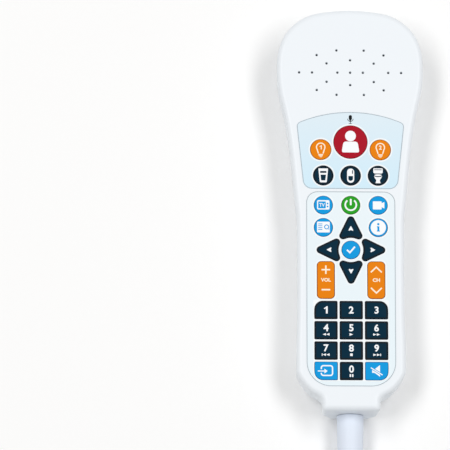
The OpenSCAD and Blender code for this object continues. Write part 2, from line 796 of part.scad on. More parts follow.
socket_y = jacket_end_y + socket_gap;
module wire_socket() {
    color("#efeade") translate([-socket_w / 2, socket_y, board_z0 - socket_h])
        cube([socket_w, socket_l, socket_h]);
}
mic_h = 1.8;
module microphone() {
    color("#9aa0a6") translate([0, mic_y, face_under - mic_h])
        cylinder(d = mic_d, h = mic_h);
}

module grille_cloth() {
    color("#3a3d40") translate([0, speaker_y, speaker_z])
        intersection() {
            cylinder(d = speaker_d, h = cloth_t);
            translate([-speaker_d / 2, -speaker_flat / 2, 0])
                cube([speaker_d, speaker_flat, cloth_t]);
        }
}
basket_window_w = 14;
basket_window_share = 0.7;
module speaker_frame() {
    window_h = basket_drop * basket_window_share;
    color("#8d9196") difference() {
        union() {
            intersection() {
                translate([0, speaker_y, speaker_z - speaker_flange_t])
                    cylinder(d = speaker_d, h = speaker_flange_t);
                translate([-speaker_d / 2, speaker_y - speaker_flat / 2, speaker_z - speaker_flange_t])
                    cube([speaker_d, speaker_flat, speaker_flange_t]);
            }
            translate([0, speaker_y, 0])
                rotate_extrude()
                    polygon([[mouth_r - basket_t, speaker_z - speaker_flange_t],
                        [mouth_r + basket_t, speaker_z - speaker_flange_t],
                        [basket_low_r, basket_base_z - basket_t], [coil_hole_r, basket_base_z - basket_t],
                        [coil_hole_r, basket_base_z], [basket_low_r - basket_t, basket_base_z]]);
        }
        translate([0, speaker_y, speaker_z - speaker_flange_t - over])
            cylinder(r = mouth_r, h = speaker_flange_t + 2 * over);
        for (a = [0 : 90 : 270])
            translate([0, speaker_y, basket_base_z + basket_t])
                rotate(a)
                    translate([basket_low_r - basket_t, -basket_window_w / 2, 0])
                        cube([mouth_r, basket_window_w, window_h]);
    }
}
module speaker_magnet() {
    plate_z = magnet_z - pole_plate_t;
    color("#4a4d52") translate([0, speaker_y, 0])
        rotate_extrude() {
            polygon([[pole_gap_r, magnet_z], [pole_gap_r, plate_z], [magnet_hole_r, plate_z],
                [magnet_hole_r, plate_z - magnet_t], [pole_r, plate_z - magnet_t],
                [pole_r, magnet_z - pole_drop], [0, magnet_z - pole_drop], [0, yoke_z],
                [pole_plate_r, yoke_z], [pole_plate_r, plate_z - magnet_t],
                [magnet_d / 2, plate_z - magnet_t], [magnet_d / 2, plate_z], [pole_plate_r, plate_z],
                [pole_plate_r, magnet_z]]);
        }
}
module cone_surround() {
    in_r = cone_rim_r + surround_play;
    out_r = mouth_r - panel_play;
    mid_r = (in_r + out_r) / 2;
    z = speaker_z - speaker_flange_t;
    color("#2c2e31") translate([0, speaker_y, 0])
        rotate_extrude()
            polygon([[in_r, z - surround_t], [mid_r, z - surround_t + surround_rise],
                [out_r, z - surround_t], [out_r, z], [mid_r, z + surround_rise], [in_r, z]]);
}
module speaker_cone() {
    cap_z = dust_cap_rise - cone_low_drop;
    color("#1f2124") translate([0, speaker_y, speaker_z])
        rotate_extrude()
            polygon([[0, cap_z], [dust_cap_r * dust_cap_share, cap_z - cone_t / 2],
                [dust_cap_r, cone_t - cone_low_drop], [cone_rim_r, -cone_rim_drop],
                [cone_rim_r, -cone_rim_drop - cone_t], [cone_low_r, -cone_low_drop],
                [cone_low_r, -cone_low_drop - former_l], [former_r, -cone_low_drop - former_l],
                [former_r, -cone_low_drop], [0, cap_z - cone_t]]);
}
module speaker_screws() {
    color("#b8bcc0")
        for (p = speaker_bosses)
            translate([p.x, p.y, speaker_z - speaker_flange_t])
                screw(washer_r, washer_t, small_r, speaker_screw_l);
}

// Thin wires run between points in round numbers: down from the loudspeaker to the board
wire_r = 0.6;
wire_steps = 3;
module wire(route) {
    last = len(route) - 1;
    tube(smooth(route, wire_steps, 2 * route[0] - route[1], 2 * route[last] - route[last - 1]), wire_r, 6);
}
lead_x = 3;
lead_drop = 3;
module speaker_leads() {
    start_z = basket_base_z - basket_t / 2;
    for (s = [-1, 1])
        color(s > 0 ? "#b01c24" : "#202225")
            wire([[s * lead_x, speaker_y - basket_low_r - wire_r, start_z],
                [s * lead_x, speaker_y - basket_low_r - lead_drop, start_z - lead_drop / 2],
                [s * lead_x, board_y1 + lead_drop, start_z - lead_drop / 2],
                [s * lead_x, board_y1 - lead_drop / 2, start_z + lead_drop / 2],
                [s * lead_x, board_y1 - 2 * lead_drop, board_z0 - wire_r]]);
}

module strain_relief() {
    start = collar_t + end_wall + 2 * seat_play;
    thick_r = relief_d / 2 - relief_waist;
    thin_r = relief_tip_d / 2;
    color("#eef2f6") along_y(relief_in_y, relief_z)
        rotate_extrude()
            polygon(concat([[0, 0], [collar_r, 0], [collar_r, collar_t], [relief_neck_r, collar_t],
                [relief_neck_r, start], [relief_d / 2, start]],
                [for (k = [0 : relief_steps]) let (u = k / relief_steps)
                    [thick_r - (thick_r - thin_r) * (1 - cos(180 * u)) / 2,
                        start + relief_straight + (relief_l - relief_straight) * u]],
                [[0, start + relief_l]]));
}
module cable_clamp() {
    ear_x = clamp_post_x + ear_side;
    hump_x = cord_d / 2 + hump_side;
    color("#3b3e42") difference() {
        union() {
            translate([-ear_x, clamp_y - clamp_w / 2, clamp_post_z])
                cube([2 * ear_x, clamp_w, ear_t]);
            translate([-hump_x, clamp_y - clamp_w / 2, clamp_post_z])
                cube([2 * hump_x, clamp_w, relief_z + cord_d / 2 + hump_t - clamp_post_z]);
        }
        along_y(clamp_y + clamp_w, relief_z)
            cylinder(r = cord_d / 2 + panel_play, h = 2 * clamp_w);
        for (s = [-1, 1])
            translate([s * clamp_post_x, clamp_y, clamp_post_z - over])
                cylinder(r = small_hole_r, h = ear_t + 2 * over);
    }
}
wire_gap = 0.2;
wire_spread = 2.5;
module inner_cable() {
    color("#eef2f6") along_y(jacket_end_y, relief_z)
        cylinder(d = cord_d, h = jacket_end_y - relief_in_y);
    socket_z = board_z0 - socket_h / 2;
    for (i = [-1.5 : 1 : 1.5])
        color(["#b01c24", "#202225", "#f2f2f0", "#2f7d4f"][i + 1.5])
            wire([[i * (2 * wire_r + wire_gap), jacket_end_y, relief_z],
                [i * (2 * wire_r + wire_gap), jacket_end_y + socket_gap / 5, relief_z],
                [i * wire_spread, jacket_end_y + socket_gap / 2, (relief_z + socket_z) / 2],
                [i * wire_spread, socket_y - socket_gap / 5, socket_z],
                [i * wire_spread, socket_y, socket_z]]);
}

// The cord lies on z = 0 beyond the strain relief. Its route's points are round numbers.
cord_r = cord_d / 2;
coil_at = [13, -262];
coil_r = 46;
coil_turns = 9.5;
coil_layers = 4;
coil_pitch = 7;
coil_z = 4.3;
ring_steps = 24;
tie_t = 0.8;
tie_w = 12;
tie_r = 3;
tie_play = 0.3;
// Route of the lead from the strain relief to the coil
lead_route = [[0, relief_end_y, relief_z], [0, -178, 12], [0, -188, 11], [-4, -199, 8.4], [-11, -211, 5.2],
    [-20, -224, 4.3], [-27, -236, 4.3], [-31.5, -246, 4.3], [-33, -254, 4.3]];
lead_end = lead_route[len(lead_route) - 1];
// Route of the tail from the top of the coil down to the plug
tail_route = [[59, -255, 25.3], [59, -248, 24.6], [59, -238, 21.2], [59, -228, 17], [59, -219, 14.5],
    [59, -212, 14], [59, -206, 14]];
plug_at = tail_route[len(tail_route) - 1];
layer_turns = coil_turns / coil_layers;
function climb(u) = u <= 0 ? 0 : u >= 1 ? 1 : u * u * (3 - 2 * u);
// The coil's middle line: it spirals in and out again, and climbs a layer in the half turn where
// the spiral reverses
function coil_point(t) = let (layer = min(coil_layers - 1, floor(t / layer_turns)),
    u = t - layer * layer_turns, depth = layer % 2 == 0 ? u : layer_turns - u,
    r = coil_r - coil_pitch * depth,
    climbs = [for (k = [1 : coil_layers - 1]) climb(2 * (t - k * layer_turns) + 0.5)],
    up = coil_pitch * (climbs * [for (k = climbs) 1]))
    [coil_at.x + r * cos(180 + 360 * t), coil_at.y + r * sin(180 + 360 * t), coil_z + up];
coil_steps = coil_turns * ring_steps;
coil_path = concat([lead_end],
    [for (k = [0 : coil_steps]) coil_point(k / ring_steps)], tail_route);
function path_length(p) = [for (i = [1 : len(p) - 1]) norm(p[i] - p[i - 1])]
    * [for (i = [1 : len(p) - 1]) 1];
// The least gap of the coil to itself, between points at least half a turn apart
coil_gap = min([for (i = [0 : len(coil_path) - 1]) for (j = [i + ring_steps / 2 : 1 : len(coil_path) - 1])
    norm(coil_path[i] - coil_path[j])]) - cord_d;
lead_path = smooth(lead_route, 3, lead_route[0] + [0, cord_d, 0], lead_end - [0, cord_d, 0]);

module cord_lead() {
    color("#eef2f6") tube(lead_path, cord_r, 8);
}
module cord_coil() {
    color("#eef2f6") tube(coil_path, cord_r, 6);
    echo(least_coil_gap = coil_gap, coil_length = path_length(coil_path));
    echo(lead_length = path_length(lead_path));
}
module coil_tie() {
    in_y = coil_r - coil_pitch * layer_turns - cord_r - tie_play - tie_t;
    w = coil_r + cord_r + tie_play - in_y;
    h = coil_z + coil_pitch * (coil_layers - 1) + cord_r + tie_play - tie_t;
    radii = [for (i = [0 : 3]) tie_r];
    color("#2f3338") translate([coil_at.x - tie_w / 2, coil_at.y - in_y - w / 2, tie_t + h / 2])
        rotate([90, 0, 90])
            linear_extrude(tie_w)
                difference() {
                    polygon(block_points(w, h, radii, tie_t));
                    polygon(block_points(w, h, radii, 0));
                }
}

boot_rear_r = 4;
boot_front_r = 9.4;
boot_steps = 8;
boot_front_share = 0.85;
flange_round = 0.4;
shell_t = 0.6;
insert_l = 6.3;
pin_recess = 1;
pin_circle_r = 4.25;
pin_middle = 0.85;
// Angles of the eight outer pins, clockwise from the top of the plug
pin_angles = [-10, 38, 78, 125, 181, 230, 267, 307];
shell_s = plug_boot_l + plug_flange_t;
module plug_axis(s) {
    translate([plug_at.x, plug_at.y + s, plug_at.z])
        rotate([-90, 0, 0])
            children();
}
module plug_boot() {
    flange_r = plug_flange_d / 2;
    color("#eef2f6") plug_axis(0)
        rotate_extrude()
            polygon(concat([[0, 0]],
                [for (k = [0 : boot_steps]) let (u = k / boot_steps)
                    [boot_rear_r + (boot_front_r - boot_rear_r) * (1 - cos(180 * u)) / 2,
                        plug_boot_l * boot_front_share * u]],
                [[boot_front_r, plug_boot_l], [flange_r - flange_round, plug_boot_l],
                    [flange_r, plug_boot_l + flange_round], [flange_r, shell_s - flange_round],
                    [flange_r - flange_round, shell_s], [0, shell_s]]));
}
module plug_shell() {
    color("#c3c6c9") plug_axis(shell_s)
        difference() {
            cylinder(d = plug_shell_d, h = plug_shell_l);
            translate([0, 0, -over])
                cylinder(r = plug_shell_d / 2 - shell_t, h = plug_shell_l + 2 * over);
        }
}
module plug_insert() {
    color("#1d1f22") plug_axis(shell_s)
        cylinder(r = plug_shell_d / 2 - shell_t - pin_play, h = insert_l);
}
module plug_pins() {
    color("#d8cfae") plug_axis(shell_s + insert_l)
        for (p = concat([[0, pin_middle]], [for (a = pin_angles) pin_circle_r * [sin(a), -cos(a)]]))
            translate(p)
                cylinder(d = plug_pin_d, h = plug_shell_l - insert_l - pin_recess);
}

// A key: the cap through its window, the flange behind the front wall and the stem
module key_solid(place) {
    translate([0, 0, flange_z])
        linear_extrude(key_flange_t)
            children(0);
    translate([0, 0, flange_z + key_flange_t])
        linear_extrude(body_h + key_rise - flange_z - key_flange_t)
            children(1);
    translate([place.x, place.y, stem_z])
        cylinder(r = key_stem_r, h = key_stem_l);
}
module round_key(k) {
    color(round_table[k][3])
        key_solid(round_table[k][1]) {
            round_shape(k, key_flange);
            round_shape(k, 0);
        }
}
module arrow_key(i) {
    color(key_navy)
        key_solid(dome_places[len(round_table) + i]) {
            arrow_shape(i, key_flange);
            arrow_shape(i, 0);
        }
}
module block_key(i) {
    color(block_colour(i))
        key_solid(block_place(i)) {
            block_shape(i, key_flange);
            block_shape(i, 0);
        }
}
// A rocker tips about two trunnions under the front wall and has a stem at each end
module rocker(i) {
    place = rocker_place(i);
    half_w = rocker_w / 2 + trunnion_l;
    low_z = pivot_z - trunnion_r - rocker_skirt;
    color(light_orange) {
        translate([0, 0, low_z])
            linear_extrude(body_h + key_rise - low_z)
                rocker_shape(i, 0);
        translate([place.x - half_w, place.y, pivot_z])
            rotate([0, 90, 0])
                cylinder(r = trunnion_r, h = 2 * half_w);
        for (s = [-1, 1])
            translate([place.x, place.y + s * rocker_dome, rocker_stem_z])
                cylinder(r = key_stem_r, h = low_z - rocker_stem_z + over);
    }
}

front_cover();
back_cover();
casing_seal();
casing_screws();
call_panel();
control_panel();
dome_sheet();
snap_domes();
circuit_board();
board_chips();
wire_socket();
small_screws();
grille_cloth();
speaker_frame();
speaker_magnet();
cone_surround();
speaker_cone();
speaker_screws();
speaker_leads();
microphone();
strain_relief();
cable_clamp();
inner_cable();
cord_lead();
cord_coil();
coil_tie();
plug_boot();
plug_shell();
plug_insert();
plug_pins();
for (k = [0 : len(ROUND_KEYS) - 1]) round_key(k);
for (i = [0 : 3]) arrow_key(i);
for (i = [0 : 1]) rocker(i);
for (i = [0 : 11]) block_key(i);
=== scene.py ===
# %% [markdown]
# # A bedside pillow speaker
# This lesson dresses a hospital handset that was first drawn as plain solids. The handset lies on its
# back with its keys up: a nurse call panel and a television panel fill its front, a small loudspeaker
# sits in its head, and a thick white cord ends in a round plug. The solids are already in the right
# places, so the pieces here are measured from them or repeat the numbers of their drawing.

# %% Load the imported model
import json
import math

import bpy
from mathutils import Matrix, Vector

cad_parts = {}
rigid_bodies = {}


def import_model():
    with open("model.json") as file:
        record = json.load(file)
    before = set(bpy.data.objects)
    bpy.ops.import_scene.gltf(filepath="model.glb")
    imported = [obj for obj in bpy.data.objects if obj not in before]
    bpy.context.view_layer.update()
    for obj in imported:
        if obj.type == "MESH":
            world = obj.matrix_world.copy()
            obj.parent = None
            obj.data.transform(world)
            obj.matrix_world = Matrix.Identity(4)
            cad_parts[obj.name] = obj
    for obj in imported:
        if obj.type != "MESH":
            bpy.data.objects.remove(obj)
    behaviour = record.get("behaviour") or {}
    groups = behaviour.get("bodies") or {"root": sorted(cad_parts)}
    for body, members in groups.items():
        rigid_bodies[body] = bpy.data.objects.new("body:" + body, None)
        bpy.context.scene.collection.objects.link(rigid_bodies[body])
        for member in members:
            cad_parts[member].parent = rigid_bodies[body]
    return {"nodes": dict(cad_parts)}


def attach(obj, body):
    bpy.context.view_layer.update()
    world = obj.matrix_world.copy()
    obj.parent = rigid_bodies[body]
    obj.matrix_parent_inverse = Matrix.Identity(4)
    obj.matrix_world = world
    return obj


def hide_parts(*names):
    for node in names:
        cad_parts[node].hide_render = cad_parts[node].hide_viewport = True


for thing in list(bpy.data.objects):
    bpy.data.objects.remove(thing)
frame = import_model()
scene = bpy.context.scene
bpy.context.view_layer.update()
MM = 0.001

# %% [markdown]
# ## Camera
# The photograph was taken from almost straight above, from far away and with a long lens: the sides of the
# casing hardly converge, and a little of the left wall and of the lower end shows. The camera's three axes
# are worked out one by one, instead of with a constraint, so that the handset stays upright in the picture.
# The middle of the face stands right of the picture's middle, as it does there.

# %% Camera
def add_object(name, data):
    """A new object in the scene."""
    thing = bpy.data.objects.new(name, data)
    scene.collection.objects.link(thing)
    return thing


CAMERA_DISTANCE = 3.2
PICTURE_WIDTH = 0.2394
FACE_MIDDLE = Vector((0, 0, 29)) * MM
IN_PICTURE = Vector((66.9, 8.8)) * MM
sideways, tilt = math.radians(1.5), math.radians(12)
back = Vector((-math.sin(sideways), -math.sin(tilt), 0))
back.z = math.sqrt(1 - back.length_squared)
right = Vector((back.z, 0, -back.x)).normalized()
up = back.cross(right)
camera = add_object("camera", bpy.data.cameras.new("camera"))
stand = FACE_MIDDLE + back * CAMERA_DISTANCE - right * IN_PICTURE.x - up * IN_PICTURE.y
camera.matrix_world = Matrix.Translation(stand) @ Matrix((right, up, back)).transposed().to_4x4()
camera.data.lens = camera.data.sensor_width * CAMERA_DISTANCE / PICTURE_WIDTH
scene.camera = camera
print("lens in mm:", round(camera.data.lens))

# %% [markdown]
# ## Colours and material nodes
# Colours are picked from pictures as sRGB hex values, but shaders calculate with linear light, so one
# function turns one into the other. A material is a small tree of nodes. One short helper adds a node,
# sets its properties and fills or links its sockets, so that a tree reads like a recipe.

# %% Colour and node helpers
def from_hex(text):
    """The linear colour of an sRGB hex value."""
    channels = [int(text[i:i + 2], 16) / 255 for i in (1, 3, 5)]
    return [c / 12.92 if c <= 0.04045 else ((c + 0.055) / 1.055) ** 2.4 for c in channels] + [1]


def add(tree, kind, sockets=None, **settings):
    """A new node with its settings; a socket takes a value, or a link from another node's output."""
    node = tree.nodes.new(kind)
    for name, value in settings.items():
        setattr(node, name, value)
    for name, value in (sockets or {}).items():
        if isinstance(value, bpy.types.NodeSocket):
            tree.links.new(value, node.inputs[name])
        else:
            node.inputs[name].default_value = value
    return node


def on_object(tree):
    """The place of each point on its object, in metres, for patterns to follow."""
    return add(tree, "ShaderNodeTexCoord").outputs["Object"]


def feed(tree, output, socket="Base Color"):
    """Links an output to the shader at the end of a material's tree."""
    tree.links.new(output, tree.nodes["Principled BSDF"].inputs[socket])


print("casing white as linear light:", [round(c, 3) for c in from_hex("#f3f6fa")])

# %% [markdown]
# ## One base for all finishes
# Nearly every finish has a colour that isn't perfectly even, a gloss that varies a little, and a fine
# relief. A noise texture in the object's own coordinates can drive all three. Its scale is one over the
# grain size, so the grain is given in real millimetres: about 0.3 mm for moulded plastic, less for ground
# metal, more for cloth.

# %% Base finish
GLOSS_SPREAD = 0.04


def finish(name, colour, roughness, grain, depth, mottle=0.03, metallic=0.0, ior=None, detail=2.0,
           gleam=0.5):
    """A material with a grain of so many mm, a relief of depth mm and tones down to 1 - mottle."""
    material = bpy.data.materials.new(name)
    material.use_nodes = True
    tree = material.node_tree
    noise = add(tree, "ShaderNodeTexNoise",
                {"Vector": on_object(tree), "Scale": 1 / (grain * MM), "Detail": detail})
    speck = noise.outputs["Fac"]
    tone = add(tree, "ShaderNodeMapRange", {"Value": speck, "To Min": 1 - mottle, "To Max": 1.0})
    tint = add(tree, "ShaderNodeVectorMath", {0: from_hex(colour)[:3], 1: tone.outputs["Result"]},
               operation="MULTIPLY")
    gloss = add(tree, "ShaderNodeMapRange",
                {"Value": speck, "To Min": roughness - GLOSS_SPREAD, "To Max": roughness + GLOSS_SPREAD})
    bump = add(tree, "ShaderNodeBump", {"Height": speck, "Distance": depth * MM})
    feed(tree, tint.outputs["Vector"])
    feed(tree, gloss.outputs["Result"], "Roughness")
    feed(tree, bump.outputs["Normal"], "Normal")
    shader = tree.nodes["Principled BSDF"]
    shader.inputs["Metallic"].default_value = metallic
    shader.inputs["Specular IOR Level"].default_value = gleam
    if ior:
        shader.inputs["IOR"].default_value = ior
    return material


# Soft PVC, extruded and moulded in one piece with the plug: dull, waxy and slightly blue
white_pvc = finish("soft_pvc", "#e4ecf9", 0.5, grain=0.5, depth=0.012, ior=1.53, gleam=0.4)
# Brass with bright nickel on it: a clear mirror with the faint rings of turning
nickel = finish("nickel_plated_brass", "#c9cbcb", 0.22, grain=0.15, depth=0.003, metallic=1.0)
# Glass-filled nylon, moulded: near black and dry
black_nylon = finish("black_nylon", "#17191c", 0.55, grain=0.3, depth=0.01, ior=1.53)
# Pins turned from brass, silver over nickel: pale and bright
silvered_pin = finish("silvered_brass", "#dad7cf", 0.2, grain=0.1, depth=0.002, metallic=1.0)
# Hook-and-loop tape: a nap of nylon loops, about 0.6 mm across, that drinks the light
hook_tape = finish("hook_and_loop_nylon", "#2b2e33", 0.9, grain=0.6, depth=0.15, mottle=0.5, detail=4.0)
# Pad-printing ink of the plug's index dot: a clear satin red
red_ink = finish("red_pad_ink", "#c2182c", 0.45, grain=0.2, depth=0.004)
print("first finishes:", [m.name for m in (white_pvc, nickel, black_nylon, silvered_pin, hook_tape)])

# %% [markdown]
# ## Shapes from rings
# Lathes and moulds make most of this object, and both can be built from rings of points: a turned part
# is a profile swept round an axis, and a moulded one is an outline repeated at several heights.
# Blender's modifiers could do this too, but a few lines of mesh code keep exact sizes. All shapes are
# worked out in millimetres, as a drawing is, and turned to metres when they are finished.

# %% Ring builders
def lofted(rings):
    """A closed shape through rings of equally many points, from the lowest up."""
    n, last = len(rings[0]), len(rings) - 1
    points = [p for ring in rings for p in ring]
    sides = [(k * n + i, k * n + (i + 1) % n, (k + 1) * n + (i + 1) % n, (k + 1) * n + i)
             for k in range(last) for i in range(n)]
    return points, [tuple(range(n - 1, -1, -1)), *sides, tuple(last * n + i for i in range(n))]


def turned(profile, steps=72, loop=False):
    """A profile of (radius, height) turned about the Z axis. With loop its end joins its start."""
    points, rows = [], []
    for r, z in profile:
        count = steps if r > 0 else 1
        rows.append([len(points) + i for i in range(count)])
        points += [Vector((r * math.cos(math.tau * i / steps), r * math.sin(math.tau * i / steps), z))
                   for i in range(count)]
    faces = []
    for a, b in zip(rows, rows[1:] + (rows[:1] if loop else [])):
        for i in range(steps):
            j = (i + 1) % steps
            corners = (a[i % len(a)], a[j % len(a)], b[j % len(b)], b[i % len(b)])
            faces.append(tuple(dict.fromkeys(corners)))
    return points, faces


def joined(shapes):
    """Several shapes as one."""
    points, faces = [], []
    for more_points, more_faces in shapes:
        faces += [tuple(i + len(points) for i in face) for face in more_faces]
        points += more_points
    return points, faces


def moved(shape, matrix):
    return [matrix @ Vector(p) for p in shape[0]], shape[1]


def set_at(shape, place, z=0.0, degrees=0.0, axis="Z"):
    """A shape turned about an axis and then set down at (x, y) and a height."""
    turn = Matrix.Rotation(math.radians(degrees), 4, axis)
    return moved(shape, Matrix.Translation((place[0], place[1], z)) @ turn)


def copies(shape, places):
    """The same shape at several places, as one."""
    return joined([set_at(shape, place) for place in places])


def cylinder(r, z0, z1, steps=72):
    return turned([(0, z0), (r, z0), (r, z1), (0, z1)], steps)


def rough_out(name, shape):
    """An object of that shape, still in millimetres."""
    mesh = bpy.data.meshes.new(name)
    mesh.from_pydata([tuple(p) for p in shape[0]], [], shape[1])
    mesh.update()
    return add_object(name, mesh)


def coat(mesh, material):
    """Gives a mesh this material alone."""
    mesh.materials.clear()
    mesh.materials.append(material)


SHARP = math.radians(32)


def settle(piece, body, material, replaces=()):
    """Brings a piece to metres, smooths it between its sharp edges and seats it on its body."""
    mesh = piece.data
    mesh.transform(Matrix.Scale(MM, 4))
    mesh.shade_smooth()
    mesh.set_sharp_from_angle(angle=SHARP)
    coat(mesh, material)
    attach(piece, body)
    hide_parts(*replaces)
    return piece


def make(name, shape, material, replaces=(), body="casing"):
    """A finished piece, straight from its shape."""
    return settle(rough_out(name, shape), body, material, replaces)


print("a lathe ring has", len(turned([(1, 0)])[0]), "points")

# %% [markdown]
# ## Flat shapes
# Panels, printed marks and the cord's tie are flat shapes with a thickness. A 2D curve fills any set of
# nested loops, counting holes by itself, and gives a clean solid when it is extruded. Small shapes fill
# badly in metres, which is one more reason for millimetres.

# %% Fill loops
def evaluated_mesh(thing):
    """The mesh of an object as its curve settings or modifiers make it."""
    evaluated = thing.evaluated_get(bpy.context.evaluated_depsgraph_get())
    return bpy.data.meshes.new_from_object(evaluated)


def from_curve(curve, z0, z1):
    """The filled and extruded curve as a shape between two heights."""
    curve.extrude = 1
    helper = add_object("helper", curve)
    mesh = evaluated_mesh(helper)
    points = [Vector((v.co.x, v.co.y, z0 + (z1 - z0) * (v.co.z + 1) / 2)) for v in mesh.vertices]
    faces = [tuple(face.vertices) for face in mesh.polygons]
    bpy.data.objects.remove(helper)
    return points, faces


def add_line(curve, points):
    """A line through points (x, y, z), added to a curve."""
    line = curve.splines.new("POLY")
    line.points.add(len(points) - 1)
    line.points.foreach_set("co", [c for p in points for c in (*p, 1)])
    return line


def filled(loops, z0, z1):
    """A plate between two heights, bounded by closed loops; a loop inside another is a hole."""
    curve = bpy.data.curves.new("plate", "CURVE")
    curve.dimensions, curve.fill_mode = "2D", "BOTH"
    for loop in loops:
        add_line(curve, [(p[0], p[1], 0) for p in loop]).use_cyclic_u = True
    return from_curve(curve, z0, z1)


def miter(a, b):
    """From the corner between ways a and b to the corner of the parallel line 1 mm to the right."""
    across = Vector((a.y + b.y, -a.x - b.x))
    return across * (2 / across.length_squared)


def grown(loop, by):
    """A counterclockwise loop moved outwards by so much."""
    ways = [(b - a).normalized() for a, b in zip(loop, loop[1:] + loop[:1])]
    return [p + miter(a, b) * by for p, a, b in zip(loop, ways[-1:] + ways, ways)]


def arc(x, y, r, start, end, steps=24):
    """Points on an arc, with its angles in degrees."""
    angles = [math.radians(start + (end - start) * i / steps) for i in range(steps + 1)]
    return [Vector((x + r * math.cos(a), y + r * math.sin(a))) for a in angles]


def circle(x, y, r, steps=64):
    return arc(x, y, r, 0, 360, steps)[:-1]


def rounded(points, radii, steps=6):
    """A polygon with its corners rounded, all to one radius or each to its own."""
    points, result = [Vector(p) for p in points], []
    radii = radii if isinstance(radii, (list, tuple)) else [radii] * len(points)
    for i, (p, radius) in enumerate(zip(points, radii)):
        u, v = (points[i - 1] - p).normalized(), (points[(i + 1) % len(points)] - p).normalized()
        half = u.angle(v) / 2
        middle = p + (u + v).normalized() * radius / math.sin(half)
        start = p + u * radius / math.tan(half) - middle
        end = p + v * radius / math.tan(half) - middle
        turn = start.angle_signed(end)
        result += [middle + Matrix.Rotation(-turn * k / steps, 2) @ start for k in range(steps + 1)]
    return result


def block(x0, y0, x1, y1, radii=0.0):
    """A rectangle between two corners, plain or with rounded corners."""
    corners = [Vector(p) for p in ((x0, y0), (x1, y0), (x1, y1), (x0, y1))]
    return rounded(corners, radii) if radii else corners


def stroke(points, thick):
    """The outline of a line of even width along an open run of points, like a pen's."""
    points = [Vector(p) for p in points]
    ways = [(b - a).normalized() for a, b in zip(points, points[1:])]
    reach = [miter(a, b) * (thick / 2) for a, b in zip(ways[:1] + ways, ways + ways[-1:])]
    return [p + r for p, r in zip(points, reach)] + [p - r for p, r in zip(points, reach)][::-1]


print("a rounded block has", len(block(0, 0, 4, 3, 1)), "points")

# %% [markdown]
# ## The cord
# The handset hangs on soft round cord, 6.5 mm thick. The photograph shows hardly any of it, so its 2.4 m
# are what such handsets have, put away as a coil of nine and a half turns in four layers that lies on
# the table below the picture. A curve with a round bevel suits it, because its own line is the cord's
# middle, whose length can be measured. The coil spirals in, climbs one cord's thickness and spirals out
# again, so that no turn runs through another.

# %% Cord route
CORD_R = 3.25
COIL_AT, COIL_R, COIL_TURNS, COIL_LAYERS = (13, -262), 46, 9.5, 4
COIL_PITCH, COIL_Z = 7, 4.3
LEAD_ROUTE = [(0, -171.15, 12), (0, -178, 12), (0, -188, 11), (-4, -199, 8.4), (-11, -211, 5.2),
              (-20, -224, 4.3), (-27, -236, 4.3), (-31.5, -246, 4.3), (-33, -254, 4.3)]
PLUG_AT = (59, -206, 14)
TAIL_ROUTE = [(59, -255, 25.3), (59, -248, 24.6), (59, -238, 21.2), (59, -228, 17), (59, -219, 14.5),
              (59, -212, 14), PLUG_AT]


def through(points, steps, before, after):
    """A smooth curve through all points, in so many steps between two of them."""
    p = [Vector(before), *[Vector(q) for q in points], Vector(after)]
    result = []
    for a, b, c, d in zip(p, p[1:], p[2:], p[3:]):
        for t in [k / steps for k in range(steps)]:
            result.append((2 * b + (c - a) * t + (2 * a - 5 * b + 4 * c - d) * t ** 2
                           + (3 * b - a - 3 * c + d) * t ** 3) / 2)
    return result + [p[-2]]


def climb(u):
    return u * u * (3 - 2 * u) if 0 < u < 1 else float(u >= 1)


def coil_point(t):
    """The coil's middle line after t turns."""
    turns = COIL_TURNS / COIL_LAYERS
    layer = min(COIL_LAYERS - 1, int(t / turns))
    depth = t - layer * turns if layer % 2 == 0 else (layer + 1) * turns - t
    r = COIL_R - COIL_PITCH * depth
    height = COIL_PITCH * sum(climb(2 * (t - k * turns) + 0.5) for k in range(1, COIL_LAYERS))
    angle = math.pi + math.tau * t
    return Vector((COIL_AT[0] + r * math.cos(angle), COIL_AT[1] + r * math.sin(angle), COIL_Z + height))


lead = through(LEAD_ROUTE, 3, (0, -164.65, 12), (-33, -260.5, 4.3))
coil = [coil_point(k / 48) for k in range(int(COIL_TURNS * 48) + 1)]
tail = through(TAIL_ROUTE, 2, coil[-1], (59, -200, 14))
route = lead + coil + tail

# %% Cord curve
flex = bpy.data.curves.new("cord", "CURVE")
flex.dimensions, flex.bevel_depth, flex.bevel_resolution, flex.use_fill_caps = "3D", CORD_R * MM, 5, True
add_line(flex, [p * MM for p in route]).use_smooth = True
flex.materials.append(white_pvc)
cord = add_object("cord", flex)
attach(cord, "casing")
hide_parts("cord_lead", "cord_coil")
print("the cord's curve is", 2 * CORD_R, "mm thick")

# %% [markdown]
# ## The plug
# A small inset of the photograph shows the plug: a white boot that swells into a round finger flange, a
# nickel shell, and a black insert with nine pins. All of it is turned work, so each piece is a profile on
# the lathe. Small radii matter most, because the rims catch the light on them. A red dot marks the top.

# %% Plug pieces
def swing(r0, r1, z0, z1, steps):
    """A profile that swings from one radius to another in a long S, without its first point."""
    return [(r0 + (r1 - r0) * (1 - math.cos(math.pi * k / steps)) / 2, z0 + (z1 - z0) * k / steps)
            for k in range(1, steps + 1)]


